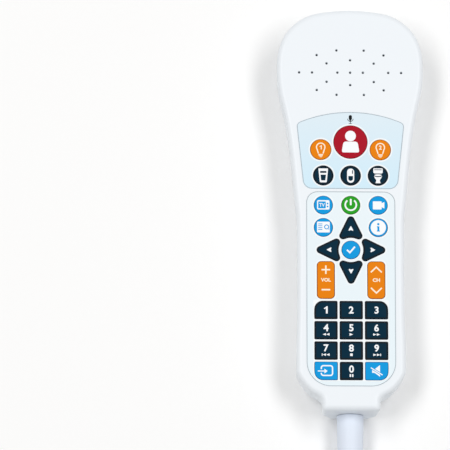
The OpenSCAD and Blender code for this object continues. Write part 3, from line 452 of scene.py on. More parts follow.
PLUG = Matrix.Translation(PLUG_AT) @ Matrix.Rotation(-math.pi / 2, 4, "X")
BOOT_L, BOOT_R, FLANGE_R, FLANGE_T, FILLET, RIM_R = 28, 9.4, 14, 1.8, 0.7, 0.5
SHELL_R, SHELL_L, SHELL_T, SHELL_S = 6.6, 11, 0.6, BOOT_L + FLANGE_T
boot_profile = [(0, 0), (3.5, 0), (3.9, 0.3), *swing(4, BOOT_R, 0, 0.85 * BOOT_L, 24),
                *arc(BOOT_R + FILLET, BOOT_L - FILLET, FILLET, 180, 90, 5),
                *arc(FLANGE_R - RIM_R, BOOT_L + RIM_R, RIM_R, -90, 0, 5),
                *arc(FLANGE_R - RIM_R, SHELL_S - RIM_R, RIM_R, 0, 90, 5),
                (7.4, SHELL_S), (7.1, SHELL_S - 0.25), (0, SHELL_S - 0.25)]
boot = make("moulded_boot", moved(turned(boot_profile), PLUG), white_pvc, ["plug_boot"])

end_s, inner_r = SHELL_S + SHELL_L, SHELL_R - SHELL_T
shell_profile = [(SHELL_R, SHELL_S - 0.2), (SHELL_R, SHELL_S + 2.2), (SHELL_R - 0.15, SHELL_S + 2.35),
                 (SHELL_R - 0.15, SHELL_S + 2.65), (SHELL_R, SHELL_S + 2.8), (SHELL_R, end_s - 0.25),
                 (SHELL_R - 0.1, end_s - 0.07), (SHELL_R - 0.25, end_s), (inner_r + 0.15, end_s),
                 (inner_r + 0.03, end_s - 0.1), (inner_r, end_s - 0.25), (inner_r, SHELL_S - 0.2)]
shell = make("nickel_shell", moved(turned(shell_profile, loop=True), PLUG), nickel,
             ["plug_shell"])
print("plug reaches", round(max(v.co.y for v in shell.data.vertices) / MM, 1), "mm in Y")

# %% [markdown]
# Each pin stands in a shallow cup and has a rounded tip. Eight of the nine stand in a ring with uneven gaps,
# as the small drawing in the photograph shows, so their angles are listed as measured there.

# %% Insert, pins and index dot
PIN_R, PIN_RING_R, CUP_R, CUP_DEPTH, INSERT_L = 0.725, 4.25, 0.975, 0.6, 6.3
pin_angles = [math.radians(a) for a in (-10, 38, 78, 125, 181, 230, 267, 307)]
pin_places = [(0, 0.85)] + [(PIN_RING_R * math.sin(a), -PIN_RING_R * math.cos(a)) for a in pin_angles]
insert_s, insert_r, tip_s = SHELL_S + INSERT_L, inner_r - 0.05, end_s - 1
cup_s = insert_s - CUP_DEPTH
insert_face = filled([circle(0, 0, insert_r)] + [circle(x, y, CUP_R, 24) for x, y in pin_places],
                     cup_s, insert_s)
insert_body = cylinder(insert_r, SHELL_S - 0.2, cup_s)
insert = make("pin_insert", moved(joined([insert_face, insert_body]), PLUG), black_nylon,
              ["plug_insert"])
pin = turned([(0, cup_s), (PIN_R, cup_s), (PIN_R, tip_s - 0.5), (PIN_R * 0.87, tip_s - 0.2),
              (PIN_R * 0.5, tip_s - 0.05), (0, tip_s)], 24)
pins = make("nine_pins", moved(copies(pin, pin_places), PLUG), silvered_pin, ["plug_pins"])
dot = turned([(0, -0.3), (1.1, -0.3), (1.1, 0.02), (1.0, 0.06), (0, 0.07)], 32)
dot = make("index_dot", set_at(dot, (PLUG_AT[0], PLUG_AT[1] + BOOT_L - 2.6), PLUG_AT[2] + BOOT_R),
           red_ink)
print(len(pin_places), "pins, their tips", round(end_s - tip_s, 1), "mm inside the shell's rim")

# %% [markdown]
# ## The tie
# A short strap of hook-and-loop tape keeps the coil together: a rounded band round the turns, and a
# thinner tab over its top and outer side, where its end is pressed down. Both are drawn as flat outlines,
# filled, and given the width of the strap as their thickness.

# %% Hook-and-loop tie
TIE_X, TIE_W, TIE_INNER = 7, 12, block(-311.55, 0.8, -287.03, 28.85, 3)
TIE = Matrix(((0, 0, 1, TIE_X), (1, 0, 0, 0), (0, 1, 0, 0), (0, 0, 0, 1)))
band = filled([TIE_INNER, grown(TIE_INNER, 0.55)], 0, TIE_W)
tab_line = [(-312.05, 10)] + arc(-308.55, 25.85, 3.5, 180, 90, 6) + [(-294, 29.35)]
tab = filled([stroke(tab_line, 0.42)], 0.5, TIE_W - 0.5)
tie = make("hook_tie", moved(joined([band, tab]), TIE), hook_tape, ["coil_tie"])
print("the tie is", TIE_W, "mm wide")

# %% [markdown]
# ## Strain relief
# Where the cord leaves the casing, a moulded sleeve spreads its bend over 60 mm. It is thick and almost
# straight at first, and then thins in a long S. Inside the end wall it has a groove and a collar, which
# the two covers clamp. It is round everywhere, so the lathe makes it too.

# %% Moulded sleeve
SLEEVE_R, TIP_R, THIN_S, TIP_S = 6.8, 4.2, 25.9, 67.9
sleeve_profile = [(0, 0), (8.0, 0), (8.4, 0.4), (8.4, 2.6), (8.0, 3), (6.2, 3), (6.2, 5.9), (6.7, 5.9),
                  (6.95, 6.0), (7.05, 6.2), (7.1, 6.5), (SLEEVE_R, THIN_S),
                  *swing(SLEEVE_R, TIP_R, THIN_S, TIP_S, 20)[:-1],
                  (TIP_R, TIP_S - 0.4), (TIP_R - 0.1, TIP_S - 0.15), (TIP_R - 0.3, TIP_S), (0, TIP_S)]
make("moulded_sleeve", set_at(turned(sleeve_profile), (0, -103.25), 12, 90, "X"), white_pvc,
     ["strain_relief"])
print("the sleeve thins from", round(2 * SLEEVE_R, 1), "to", round(2 * TIP_R, 1), "mm")

# %% [markdown]
# ## Outlines from the solids
# The CAD solids are faceted, and the eye sees facets at once on a glossy rim. Their flat faces still
# hold the exact outlines: every edge used by only one triangle of a flat face lies on its border. These
# borders are chained into loops, and new points are laid on smooth arcs between the old ones, while long
# straight edges stay straight.

# %% Read and refine outlines
def outlines_at(node, z):
    """The outlines round the flat faces of a CAD node at height z, in mm, the longest first."""
    mesh = frame["nodes"][node].data
    spots = [tuple(round(c / MM, 3) for c in v.co) for v in mesh.vertices]
    edges = set()
    for face in mesh.polygons:
        corners = [spots[i] for i in face.vertices]
        if all(abs(c[2] - z) < 0.01 for c in corners):
            for edge in zip(corners, corners[1:] + corners[:1]):
                edges ^= {edge} if edge[::-1] not in edges else {edge[::-1]}
    after, loops = dict(edges), []
    while after:
        start, point = after.popitem()
        loop = [start]
        while point != start:
            loop.append(point)
            point = after.pop(point)
        loop = [Vector(p[:2]) for p in loop]
        area = sum(a.cross(b) for a, b in zip(loop, loop[1:] + loop[:1]))
        loops.append(loop if area > 0 else loop[::-1])
    return sorted(loops, key=lambda loop: -sum((a - b).length for a, b in zip(loop, loop[1:])))


def smooth_loop(loop, step=6.0):
    """The same loop with arcs between its points, in turns of at most so many degrees."""
    n, result = len(loop), []
    ways = [(loop[(i + 1) % n] - p) for i, p in enumerate(loop)]
    tangents = []
    for a, b in zip(ways[-1:] + ways, ways):
        u, v = a.normalized(), b.normalized()
        if u.angle(v) > math.radians(40):
            tangents.append((u, v))
        elif a.length > 4 * b.length or b.length > 4 * a.length:
            tangents.append((u, u) if a.length > b.length else (v, v))
        else:
            tangents.append(((u * b.length + v * a.length).normalized(),) * 2)
    for i, p in enumerate(loop):
        way, s, t = ways[i], tangents[i][1], tangents[(i + 1) % n][0]
        count = max(1, math.ceil(math.degrees(s.angle(t, 0)) / step))
        for u in [k / count for k in range(count)]:
            h0, h1 = 2 * u ** 3 - 3 * u ** 2 + 1, u ** 3 - 2 * u ** 2 + u
            h2, h3 = 3 * u ** 2 - 2 * u ** 3, u ** 3 - u ** 2
            result.append(h0 * p + h1 * way.length * s + h2 * (p + way) + h3 * way.length * t)
    return result


def smooth_outlines(node, z):
    return [smooth_loop(loop) for loop in outlines_at(node, z)]


TOP_Z = 29.0
face_loop = outlines_at("front_cover", TOP_Z)[0]
print("face outline:", len(face_loop), "points, refined to", len(smooth_loop(face_loop)))

# %% [markdown]
# ## Casing
# The casing is two shells of ABS that meet in a seam 12 mm above the back. Each has a little draft, a
# rounded edge and walls of about 2 mm. The outline is drawn in by a different amount at each height, ring
# upon ring, which gives the round edges as true arcs. Then the inside, the recesses and the holes are cut
# away with booleans, as a toolmaker would cut them.

# %% Casing outline at any height
HEAD_HALF, NECK_HALF, LEAN, SPLIT_Z, EDGE_R = 39.1, 15.4, 0.5, 12.0, 3.0
HEAD_Y, HEAD_DROP, FOOT_Y, NECK_L = 77.0, 32.0, -86.0, 23.0


def full_width(p):
    """A point on the border of the front's flat face, moved out by the edge radius to the side wall."""
    x, y = p
    if y > HEAD_Y:
        return Vector((x / (1 - EDGE_R / HEAD_HALF), HEAD_Y + (y - HEAD_Y) / (1 - EDGE_R / HEAD_DROP)))
    if y < FOOT_Y:
        y = FOOT_Y + (y - FOOT_Y) / (1 - EDGE_R / NECK_L)
    if abs(x) < NECK_HALF - EDGE_R:
        return Vector((x / (1 - EDGE_R / NECK_HALF), y))
    return Vector((x + math.copysign(EDGE_R, x), y))


outline = smooth_loop([full_width(p) for p in face_loop], 4.0)


def ring(draw, neck, z, taper=0.0):
    """The outline at height z, drawn in by so much at its sides and head, and by neck at its end."""
    result = []
    for p in outline:
        share = abs(p.x) / HEAD_HALF if p.y > HEAD_Y else min(1, abs(p.x) / NECK_HALF)
        inwards, y = draw + taper * max(0, FOOT_Y - p.y) / NECK_L, p.y
        if p.y > HEAD_Y:
            y -= draw * (p.y - HEAD_Y) / HEAD_DROP
        if p.y < FOOT_Y:
            y += neck * (FOOT_Y - p.y) / NECK_L
        result.append(Vector((p.x - math.copysign(inwards * share, p.x), y, z)))
    return result


def apply_cut(piece, shape, operation="DIFFERENCE"):
    """Cuts a shape out of a piece, or adds it to it, for good."""
    tool = rough_out("tool", shape)
    modifier = piece.modifiers.new("cut", "BOOLEAN")
    modifier.operation, modifier.solver, modifier.object = operation, "MANIFOLD", tool
    bpy.context.view_layer.update()
    piece.data = evaluated_mesh(piece)
    piece.modifiers.clear()
    bpy.data.objects.remove(tool)


quarter = [math.pi / 2 * k / 8 for k in range(9)]
print("casing is", round(2 * max(p.x for p in outline), 1), "mm wide at the head")

# %% Front shell
FACE_UNDER, WALL, END_WALL, SEAM = 26.6, 2.2, 2.6, 0.25
front_rings = [ring(LEAN + SEAM, SEAM, SPLIT_Z), ring(LEAN, 0, SPLIT_Z + SEAM)]
front_rings += [ring(d, d, TOP_Z - EDGE_R + EDGE_R * math.sin(a))
                for a in quarter for d in [EDGE_R * (1 - math.cos(a))]]
front = rough_out("front_moulding", lofted(front_rings))
apply_cut(front, lofted([ring(WALL + LEAN, END_WALL, z) for z in (SPLIT_Z - 1, FACE_UNDER)]))
print("front shell has", len(front.data.polygons), "faces")

# %% [markdown]
# Everything that is cut out of the front, or stands behind it, is read from the flat faces of the CAD
# front cover: the recesses and key windows from the recess floor, the speaker holes from the front face,
# and the screw bosses from their lower ends. Nothing has to be measured twice that way. The speaker
# holes get a tiny countersink, because a moulded hole is never knife-sharp.

# %% Recesses, windows, holes and bosses
RECESS_Z, PANEL_MIN, HOLE_MAX, SINK, OVER = 28.5, 40, 2, 0.12, 1


def prism(loop, z0, z1):
    return lofted([[Vector((p.x, p.y, z)) for p in loop] for z in (z0, z1)])


def middle(loop):
    xs, ys = [p.x for p in loop], [p.y for p in loop]
    return Vector((min(xs) + max(xs), min(ys) + max(ys))) / 2


def width(loop):
    return max(p.x for p in loop) - min(p.x for p in loop)


def places_of(node, z, wide):
    """The middles of those flat faces of a CAD node at height z that are so wide."""
    return [middle(loop) for loop in outlines_at(node, z) if abs(width(loop) - wide) < 0.1]


recess_loops = smooth_outlines("front_cover", RECESS_Z)
recesses = [loop for loop in recess_loops if width(loop) > PANEL_MIN]
windows = [loop for loop in recess_loops if width(loop) < PANEL_MIN]
apply_cut(front, joined([prism(loop, RECESS_Z, TOP_Z + OVER) for loop in recesses]))
apply_cut(front, joined([prism(loop, FACE_UNDER - OVER, TOP_Z + OVER) for loop in windows]))
sound_holes = [loop for loop in outlines_at("front_cover", TOP_Z) if width(loop) < HOLE_MAX]
hole_r = width(sound_holes[0]) / 2
hole = turned([(0, FACE_UNDER - OVER), (hole_r, FACE_UNDER - OVER), (hole_r, TOP_Z - SINK),
               (hole_r + SINK, TOP_Z), (hole_r + SINK, TOP_Z + OVER), (0, TOP_Z + OVER)], 24)
apply_cut(front, copies(hole, [middle(loop) for loop in sound_holes]))
neck_bore = set_at(cylinder(6.25, -1, 6), (0, -104), SPLIT_Z, 90, "X")
apply_cut(front, neck_bore)

# Each kind of boss: its lower end, radius, bore's radius and bore's top
BOSSES = (9.0, 3.1, 1.25, 18.5), (22.0, 2.1, 0.95, 26.25), (25.3, 2.1, 0.95, 26.5)
boss_top, bosses = FACE_UNDER + 0.3, []
for low, r, bore_r, bore_top in BOSSES:
    boss = turned([(0, bore_top), (bore_r, bore_top), (bore_r, low), (r, low), (r, boss_top),
                   (0, boss_top)], 40)
    bosses.append(copies(boss, places_of("front_cover", low, 2 * r)))
front_bosses = rough_out("front_bosses", joined(bosses))
print(len(recesses), "recesses,", len(windows), "windows,", len(sound_holes), "sound holes")

# %% [markdown]
# ## White plastic
# The casing is ABS, injection moulded in a tool with a very light spark-eroded grain: a clean, slightly
# blue white with an even soft sheen, and a grain of a third of a millimetre that only shows at the edge of
# a reflection. Its index of refraction is about 1.54.

# %% Casing finish
abs_white = finish("moulded_abs", "#f0f5fa", 0.4, grain=0.35, depth=0.006, mottle=0.015, ior=1.54,
                   gleam=0.4)


def settle_shell(piece, node):
    """Settles a shell, and keeps its large flat faces evenly lit beside their rounded rims."""
    settle(piece, "casing", abs_white, [node])
    piece.modifiers.new("normals", "WEIGHTED_NORMAL").keep_sharp = True


settle_shell(front, "front_cover")
settle(front_bosses, "casing", abs_white)
print("front moulding:", len(front.data.vertices), "points")

# %% [markdown]
# The back shell is a shallow tray with a larger edge radius, so that it sits well in the hand. Its neck
# narrows towards the back, which shows as two slanting corners at the lower end. Six posts stand on its
# floor, each with a well for a screw, two smaller posts and a saddle carry the cable clamp, and a groove
# along its rim takes the seal. It is lofted and cut in the same way as the front.

# %% Back shell
BACK_R, BACK_DRAW, BACK_T, RIM_Z, RIM_IN = 4.5, 1.7, 2.2, 10.4, 0.756
NECK_ROUND, NECK_TAPER, POST_R, CLAMP_POST_R, GROOVE_Z = 1.5, 2.4, 3.6, 2.6, 11.2
back_rings = [ring(BACK_DRAW + BACK_R * d, NECK_ROUND * d, BACK_R * (1 - math.sin(a)), NECK_TAPER)
              for a in reversed(quarter) for d in [1 - math.cos(a)]]
back_rings += [ring(RIM_IN, 0, RIM_Z), ring(LEAN, 0, SPLIT_Z - SEAM), ring(LEAN + SEAM, SEAM, SPLIT_Z)]
back_shell = rough_out("back_moulding", lofted(back_rings))
slope = math.sqrt(BACK_R ** 2 - (BACK_R - BACK_T) ** 2) / BACK_R
apply_cut(back_shell, lofted([
    ring(BACK_DRAW + BACK_R * (1 - slope) + WALL, END_WALL, BACK_T, NECK_TAPER),
    ring(BACK_DRAW + WALL, END_WALL, BACK_R, NECK_TAPER), ring(LEAN + WALL, END_WALL, SPLIT_Z + OVER)]))
screw_posts = places_of("back_cover", 9.0, 2 * POST_R)
clamp_posts = places_of("back_cover", 11.5, 2 * CLAMP_POST_R)
clamp_y = clamp_posts[0].y
post = turned([(0, BACK_T - 1), (POST_R, BACK_T - 1), (POST_R, 8.8), (POST_R - 0.2, 9), (0, 9)], 48)
clamp_post = cylinder(CLAMP_POST_R, BACK_T - 1, 11.5, 40)
saddle = prism(block(-3.6, clamp_y - 3, 3.6, clamp_y + 3), BACK_T - 1, 10.0)
apply_cut(back_shell, joined([copies(post, screw_posts), copies(clamp_post, clamp_posts), saddle]), "UNION")
well = turned([(0, -1), (3.1, -1), (3.1, 0), (2.8, 0.25), (2.8, 6), (1.4, 6), (1.4, 10), (0, 10)], 48)
pilot = cylinder(0.95, 7.7, 12, 32)
apply_cut(back_shell, joined([copies(well, screw_posts), copies(pilot, clamp_posts)]))
apply_cut(back_shell, neck_bore)
apply_cut(back_shell, set_at(cylinder(3.3, 0, 12), (0, clamp_y + 6), SPLIT_Z, 90, "X"))
groove = smooth_outlines("back_cover", GROOVE_Z)[0]
apply_cut(back_shell, prism(groove, GROOVE_Z, SPLIT_Z + OVER))
settle_shell(back_shell, "back_cover")
print(len(screw_posts), "screw posts and", len(clamp_posts), "clamp posts")

# %% [markdown]
# ## Printed panels
# The two panels are sheets of polyester film, half a millimetre thick with their adhesive, in shallow
# recesses. The film is printed on its underside, so its colour lies under a satin skin. The call panel
# goes from a greyish ice blue at its arched top to a clearer one below, and the control panel is paler. A
# gradient along the handset, read from the object coordinates, mixes the two printed tones of each.

# %% Film finish
def tone_ramp(tree, value, low, high, stops, interpolation="LINEAR"):
    """Tones for a value that runs from low to high; each stop is a share of the way and a hex colour."""
    share = add(tree, "ShaderNodeMapRange", {"Value": value, "From Min": low * MM, "From Max": high * MM})
    tones = add(tree, "ShaderNodeValToRGB", {"Fac": share.outputs["Result"]})
    ramp = tones.color_ramp
    ramp.interpolation = interpolation
    ramp.elements[0].color = from_hex(stops[0][1])
    ramp.elements[1].position, ramp.elements[1].color = stops[1][0], from_hex(stops[1][1])
    for position, colour in stops[2:]:
        ramp.elements.new(position).color = from_hex(colour)
    return tones.outputs["Color"]


def printed_film(name, low_colour, high_colour, low_y, high_y):
    """Satin polyester film over a printed tone that changes from low_y to high_y, in mm."""
    material = finish(name, low_colour, 0.34, grain=0.25, depth=0.003, mottle=0.01, ior=1.6, gleam=0.3)
    tree = material.node_tree
    along = add(tree, "ShaderNodeSeparateXYZ", {"Vector": on_object(tree)}).outputs["Y"]
    feed(tree, tone_ramp(tree, along, low_y, high_y, [(0, low_colour), (1, high_colour)]))
    return material


call_film = printed_film("ice_blue_film", "#d2edfb", "#dfeef7", 12, 50)
control_film = printed_film("pale_blue_film", "#e9f5fb", "#ebf5fa", -90, 8)
# Screen-printing ink is a thin matte skin: its edges are crisp and it hides what lies under it
halo_ink = finish("white_screen_ink", "#f9fdff", 0.5, grain=0.15, depth=0.002, gleam=0.3)
# Painted shade: a grey band that stands in for the shadow at the step round each panel's recess
painted_step_shade = finish("grey_screen_ink", "#a9b3bb", 0.5, grain=0.15, depth=0.002, gleam=0.3)
# Black ink for the microphone mark, also used as painted shade along the rim of each navy key
black_ink_and_rim_shade = finish("black_screen_ink", "#020609", 0.5, grain=0.15, depth=0.002, gleam=0.15)
print("films:", call_film.name, "and", control_film.name)

# %% Panels with their windows
panel_outlines = []
for node, material in (("call_panel", call_film), ("control_panel", control_film)):
    loops = smooth_outlines(node, TOP_Z)
    panel_outlines.append(loops[0])
    overlay = node.replace("panel", "overlay")
    make(overlay, filled(loops, RECESS_Z, TOP_Z), material, [node])
    print(node, "has", len(loops) - 1, "windows")

# %% [markdown]
# On the film, a fine grey line round each panel is painted shade, for the shadow at the step of its recess,
# and a white halo is printed round each key window. The twelve keys of the number block share one white
# field. Ink and painted shade this thin would vanish into the film's surface, so they stand 0.02 mm proud.

# %% Printed lines and halos
PRINT, HALO, SNUG, STEP_SHADE_IN, STEP_SHADE_W = 0.02, 0.75, 0.02, 0.12, 0.3
BLOCK_TOP_Y, BLOCK_EDGE, BLOCK_LOW_R, BLOCK_TOP_R = -50, 0.5, 4.9, 1.2


def printed(name, patches, material):
    """Patches of ink and of painted shade on the panels, each a list of nested loops."""
    shapes = [filled(loops, TOP_Z - PRINT, TOP_Z + PRINT + 0.003 * i) for i, loops in enumerate(patches)]
    return make(name, joined(shapes), material)


# Painted shade: a grey band just inside each panel's edge, for the shadow at the step of its recess
printed("panel_lines", [[grown(loop, -STEP_SHADE_IN), grown(loop, -STEP_SHADE_IN - STEP_SHADE_W)] for loop in panel_outlines],
        painted_step_shade)
in_panel = [loop for loop in windows if width(loop) > HOLE_MAX]
single = [loop for loop in in_panel if middle(loop).y > BLOCK_TOP_Y]
in_block = [loop for loop in in_panel if middle(loop).y < BLOCK_TOP_Y]
block_points = [p for loop in in_block for p in loop]
block_x = max(p.x for p in block_points) + BLOCK_EDGE
block_ys = [min(p.y for p in block_points) - BLOCK_EDGE, max(p.y for p in block_points) + BLOCK_EDGE]
block_field = block(-block_x, block_ys[0], block_x, block_ys[1],
                    [BLOCK_LOW_R, BLOCK_LOW_R, BLOCK_TOP_R, BLOCK_TOP_R])
halos = [[grown(loop, HALO), grown(loop, SNUG)] for loop in single]
halos.append([block_field] + [grown(loop, SNUG) for loop in in_block])
printed("window_halos", halos, halo_ink)
mic_x, mic_y = middle(min(windows, key=width))
print(len(single), "single windows and", len(in_block), "in the number block; microphone at", round(mic_y, 1))

# %% [markdown]
# ## Key caps
# Each key is a hard cap that rises through its window, with a flange behind the front wall and a stem that
# presses a snap dome. Its outline comes from the CAD key, and a rounded rim of 0.35 mm is laid round it in
# five small steps, because a rim is where a key shows its thickness. Instead of a flange, a rocker has two
# stems and an axle to tip on.

# %% Cap finishes
# Dyed ABS from a polished tool: deep even colour, satin gloss
CAP_COLOURS = {"key_red": ("red_abs", "#ad1528"), "key_orange": ("orange_abs", "#ec840c"),
               "key_navy": ("navy_abs", "#012b3f"), "key_blue": ("sky_blue_abs", "#129de3"),
               "key_green": ("green_abs", "#2ca324")}
CAPS = {slot: finish(name, colour, 0.38, grain=0.3, depth=0.004, ior=1.54, gleam=0.05)
        for slot, (name, colour) in CAP_COLOURS.items()}
keys = [name for name in frame["nodes"] if name.startswith(("key_", "rocker_"))]
SLOT_OF = dict.fromkeys(keys, "key_navy") | {"key_nurse": "key_red", "key_power": "key_green"}
SLOT_OF |= dict.fromkeys(["key_light_1", "key_light_2", "rocker_volume", "rocker_channel"], "key_orange")
SLOT_OF |= dict.fromkeys(["key_tv", "key_camera", "key_guide", "key_info", "key_select", "key_input",
                          "key_mute"], "key_blue")
print(len(CAPS), "plastics for", len(keys), "keys and rockers")

# %% Caps
RIM, STEM_R, AXLE_R, AXLE_Z, AXLE_OUT = 0.35, 1.5, 0.9, 25.6, 0.9
quarter_in_five = [math.pi / 10 * k for k in range(6)]


def cap(node):
    """The shape of a key or rocker, from the outline and the heights of its CAD node."""
    levels = sorted({round(v.co.z / MM, 2) for v in frame["nodes"][node].data.vertices})
    low, top = levels[0], levels[-1]
    loop = smooth_loop(outlines_at(node, top)[0])
    rim = [(RIM * (math.cos(a) - 1), top - RIM + RIM * math.sin(a)) for a in quarter_in_five]
    if node.startswith("rocker"):
        foot = next(z for z in levels[1:] if outlines_at(node, z))
        steps, stem_top = [(-0.2, foot), (0, foot + 0.2)], foot + 0.5
    else:
        foot, ledge = levels[1:3]
        steps, stem_top = [(0.3, foot), (0.45, foot + 0.15), (0.45, ledge), (0, ledge)], foot + 0.3
    body = lofted([[p.to_3d() + Vector((0, 0, z)) for p in grown(loop, g)] for g, z in steps + rim])
    stem = turned([(0, low), (STEM_R - 0.2, low), (STEM_R, low + 0.2), (STEM_R, stem_top), (0, stem_top)],
                  32)
    return joined([body, copies(stem, map(middle, outlines_at(node, low)))]), loop, top


key_loops, key_tops = {}, {}
for name in keys:
    shape, key_loops[name], key_tops[name] = cap(name)
    if name.startswith("rocker"):
        end = width(key_loops[name]) / 2 + AXLE_OUT
        axle = turned([(0, -end), (AXLE_R - 0.1, -end), (AXLE_R, 0.1 - end), (AXLE_R, end - 0.1),
                       (AXLE_R - 0.1, end), (0, end)], 32)
        shape = joined([shape, set_at(axle, middle(key_loops[name]), AXLE_Z, 90, "Y")])
    make("cap_" + name, shape, CAPS[SLOT_OF[name]], [name], name)
print(len(keys), "caps; nurse call is", round(width(key_loops["key_nurse"]), 1), "mm across")

# %% [markdown]
# ## Legends
# The marks on the keys are pad-printed in white or cream. Drawing them as flat shapes in millimetres,
# from a few kinds of outline, keeps them sharp at any distance, where a texture would need pixels.
# Letters and digits are generic and come from the built-in typeface, made bolder and fitted to size. Its
# figure one is a bare bar, so a one with a flag is drawn from a given outline.

# %% Letters
def lettering(text, height, x, y, wide=None, bold=0.3):
    """Letters as a shape one unit thick, with their middle at (x, y), so high and wide in mm."""
    curve = bpy.data.curves.new("lettering", "FONT")
    curve.body, curve.size, curve.offset, curve.resolution_u = text, 10, bold, 6
    points, faces = from_curve(curve, 0, 1)
    centre = middle(points)
    tall = height / (2 * (max(p.y for p in points) - centre.y))
    across = wide / width(points) if wide else tall
    return [Vector((x + (p.x - centre.x) * across, y + (p.y - centre.y) * tall, p.z))
            for p in points], faces


ONE = [(0.0, -1.95), (0.95, -1.95), (0.95, 1.95), (0.3, 1.95), (-0.1, 1.45), (-1.0, 1.0), (-1.0, 0.35),
       (0.0, 0.8)]
ONE_HEIGHT = 3.9


def figure(digit, height, x, y):
    """A patch with one digit."""
    if digit != 1:
        return lettering(str(digit), height, x, y)
    return [(x + px * height / ONE_HEIGHT, y + py * height / ONE_HEIGHT) for px, py in ONE]


# Pad-printing ink: thin, opaque and satin, so that the marks stay bright on dark plastic
WHITE_INK = finish("white_pad_ink", "#fbfdff", 0.45, grain=0.15, depth=0.002, gleam=0.3)
CREAM_INK = finish("cream_pad_ink", "#fff3dc", 0.45, grain=0.15, depth=0.002, gleam=0.3)


def legend(key, patches, ink=WHITE_INK, place=None, degrees=0, name="legend_"):
    """Ink on a key, also painted shade along its rim. A patch is a list of nested loops, a single loop, or a
    shape of letters.
    """
    shapes = []
    for i, patch in enumerate(patches):
        high = PRINT + 0.002 * i
        if isinstance(patch, tuple):
            shapes.append(([Vector((p.x, p.y, -PRINT + p.z * (PRINT + high))) for p in patch[0]], patch[1]))
        else:
            alone = isinstance(patch[0][0], (int, float))
            shapes.append(filled([patch] if alone else patch, -PRINT, high))
    shape = set_at(joined(shapes), place or middle(key_loops[key]), key_tops[key], degrees)
    return make(name + key, shape, ink, body=key)


print("inks:", WHITE_INK.name, "and", CREAM_INK.name)

# %% [markdown]
# The call panel's marks are pictures: a person on the nurse call key, a light bulb with its number on
# each light key, and a glass of water, a capsule and a toilet on the three request keys.

# %% Call panel legends
person = rounded([(-3.75, 0.2), (-4.75, -5.75), (4.75, -5.75), (3.75, 0.2)], [1.6, 0.9, 0.9, 1.6])
legend("key_nurse", [circle(0, 3.25, 2.88), person])
for number in (1, 2):
    bulb = stroke([(-1.25, -2.2)] + arc(0, 1.25, 2.25, 212, -32, 32) + [(1.25, -2.2)], 0.6)
    base = [block(-1.3, -3.0, 1.3, -2.5, 0.15), block(-1.1, -3.65, 1.1, -3.2, 0.15),
            block(-0.6, -4.2, 0.6, -3.85)]
    legend(f"key_light_{number}", [bulb, *base, figure(number, 2.3, 0, 1.2)], CREAM_INK)
glass = rounded([(-2.6, 3.75), (-1.85, -3.85), (1.85, -3.85), (2.6, 3.75)], [0.3, 0.7, 0.7, 0.3])
water = rounded([(-1.5, 0.35), (-1.1, -2.8), (1.1, -2.8), (1.5, 0.35)], 0.25)
legend("key_water", [[glass, block(-1.75, 1.3, 1.75, 2.35, 0.4), water]])
capsule = block(-1.9, -4.0, 1.9, 3.75, 1.88)
lower_half = block(-1.25, -2.95, 1.25, -0.3, [1.2, 1.2, 0.1, 0.1])
legend("key_medicine", [[capsule, lower_half, block(0.75, 0.85, 1.25, 2.9, 0.22)]])
seat = [(1.9 * p.x, 0.2 + 0.5 * p.y) for p in circle(0, 0, 1, 32)]
bowl = [(0, -0.85), (0.8, -0.8), (1.6, -0.6), (2.15, -0.15), (1.7, -1.4), (0.95, -2.4), (1.0, -2.9),
        (1.35, -4.15)]
bowl += [(-x, y) for x, y in bowl[:0:-1]]
legend("key_toilet", [[block(-2.5, 1.15, 2.5, 3.95, [0.8, 0.8, 0.3, 0.3]), block(-2.0, 2.95, 2.0, 3.35)],
                      seat, bowl])
print("bulb stroke has", len(bulb), "points")

# %% [markdown]
# The control panel's round keys say television, power, camera, programme guide and information, and the
# key inside the four arrows has a tick. The rockers carry VOL with plus and minus, and CH with arrows.

# %% Control panel legends
knobs = [circle(2.25, y, 0.48, 20) for y in (0.75, -0.85)]
screen = [block(-3.35, -2.5, 3.25, 2.6, 0.7), block(-2.75, -1.85, 1.3, 1.9, 0.3), *knobs]
legend("key_tv", [screen, lettering("TV", 2.0, -0.72, 0, 2.9, 0.15)])
legend("key_power", [stroke(arc(0, 0.15, 2.95, 53, -233, 40), 0.85), block(-0.48, -0.1, 0.48, 3.4, 0.3)])
legend("key_camera", [block(-2.85, -2.3, 1.85, 2.1, 0.35),
                      rounded([(1.5, -0.8), (3.3, -1.8), (3.3, 1.8), (1.5, 0.9)], 0.15)])
guide_rows = [block(-2.8, y, -0.55, y + 0.42) for y in (1.6, 0.6, -0.45, -1.45)]
lens_ring = [circle(1.7, 0.2, 1.33, 32), circle(1.7, 0.2, 0.85, 32)]
legend("key_guide", [[block(-3.4, -2.8, 3.4, 3.05, 0.5), *guide_rows, *lens_ring,
                      stroke([(2.75, -0.85), (3.05, -1.15)], 0.5)]])
letter_i = [(-0.8, 0.7), (-0.8, 0.25), (-0.5, 0.15), (-0.5, -1.6), (-0.8, -1.7), (-0.8, -2.15),
            (0.85, -2.15), (0.85, -1.7), (0.55, -1.6), (0.55, 0.7)]
legend("key_info", [[circle(0, 0, 4.05), circle(0, 1.85, 0.62, 20), letter_i]])
legend("key_select", [stroke([(-2.15, 0), (-0.6, -1.5), (2.1, 1.7)], 0.85)])
select = middle(key_loops["key_select"])
arrow_mark = rounded([(-1.6, 10.1), (0, 10.75), (1.6, 10.1), (0, 13.05)], [0.3, 0.1, 0.3, 0.2])
for turns, name in enumerate(("key_up", "key_left", "key_down", "key_right")):
    legend(name, [arrow_mark], WHITE_INK, select, 90 * turns)
plus = [(-2.3, 5.1), (-0.4, 5.1), (-0.4, 3.2), (0.4, 3.2), (0.4, 5.1), (2.3, 5.1), (2.3, 5.9), (0.4, 5.9),
        (0.4, 7.8), (-0.4, 7.8), (-0.4, 5.9), (-2.3, 5.9)]
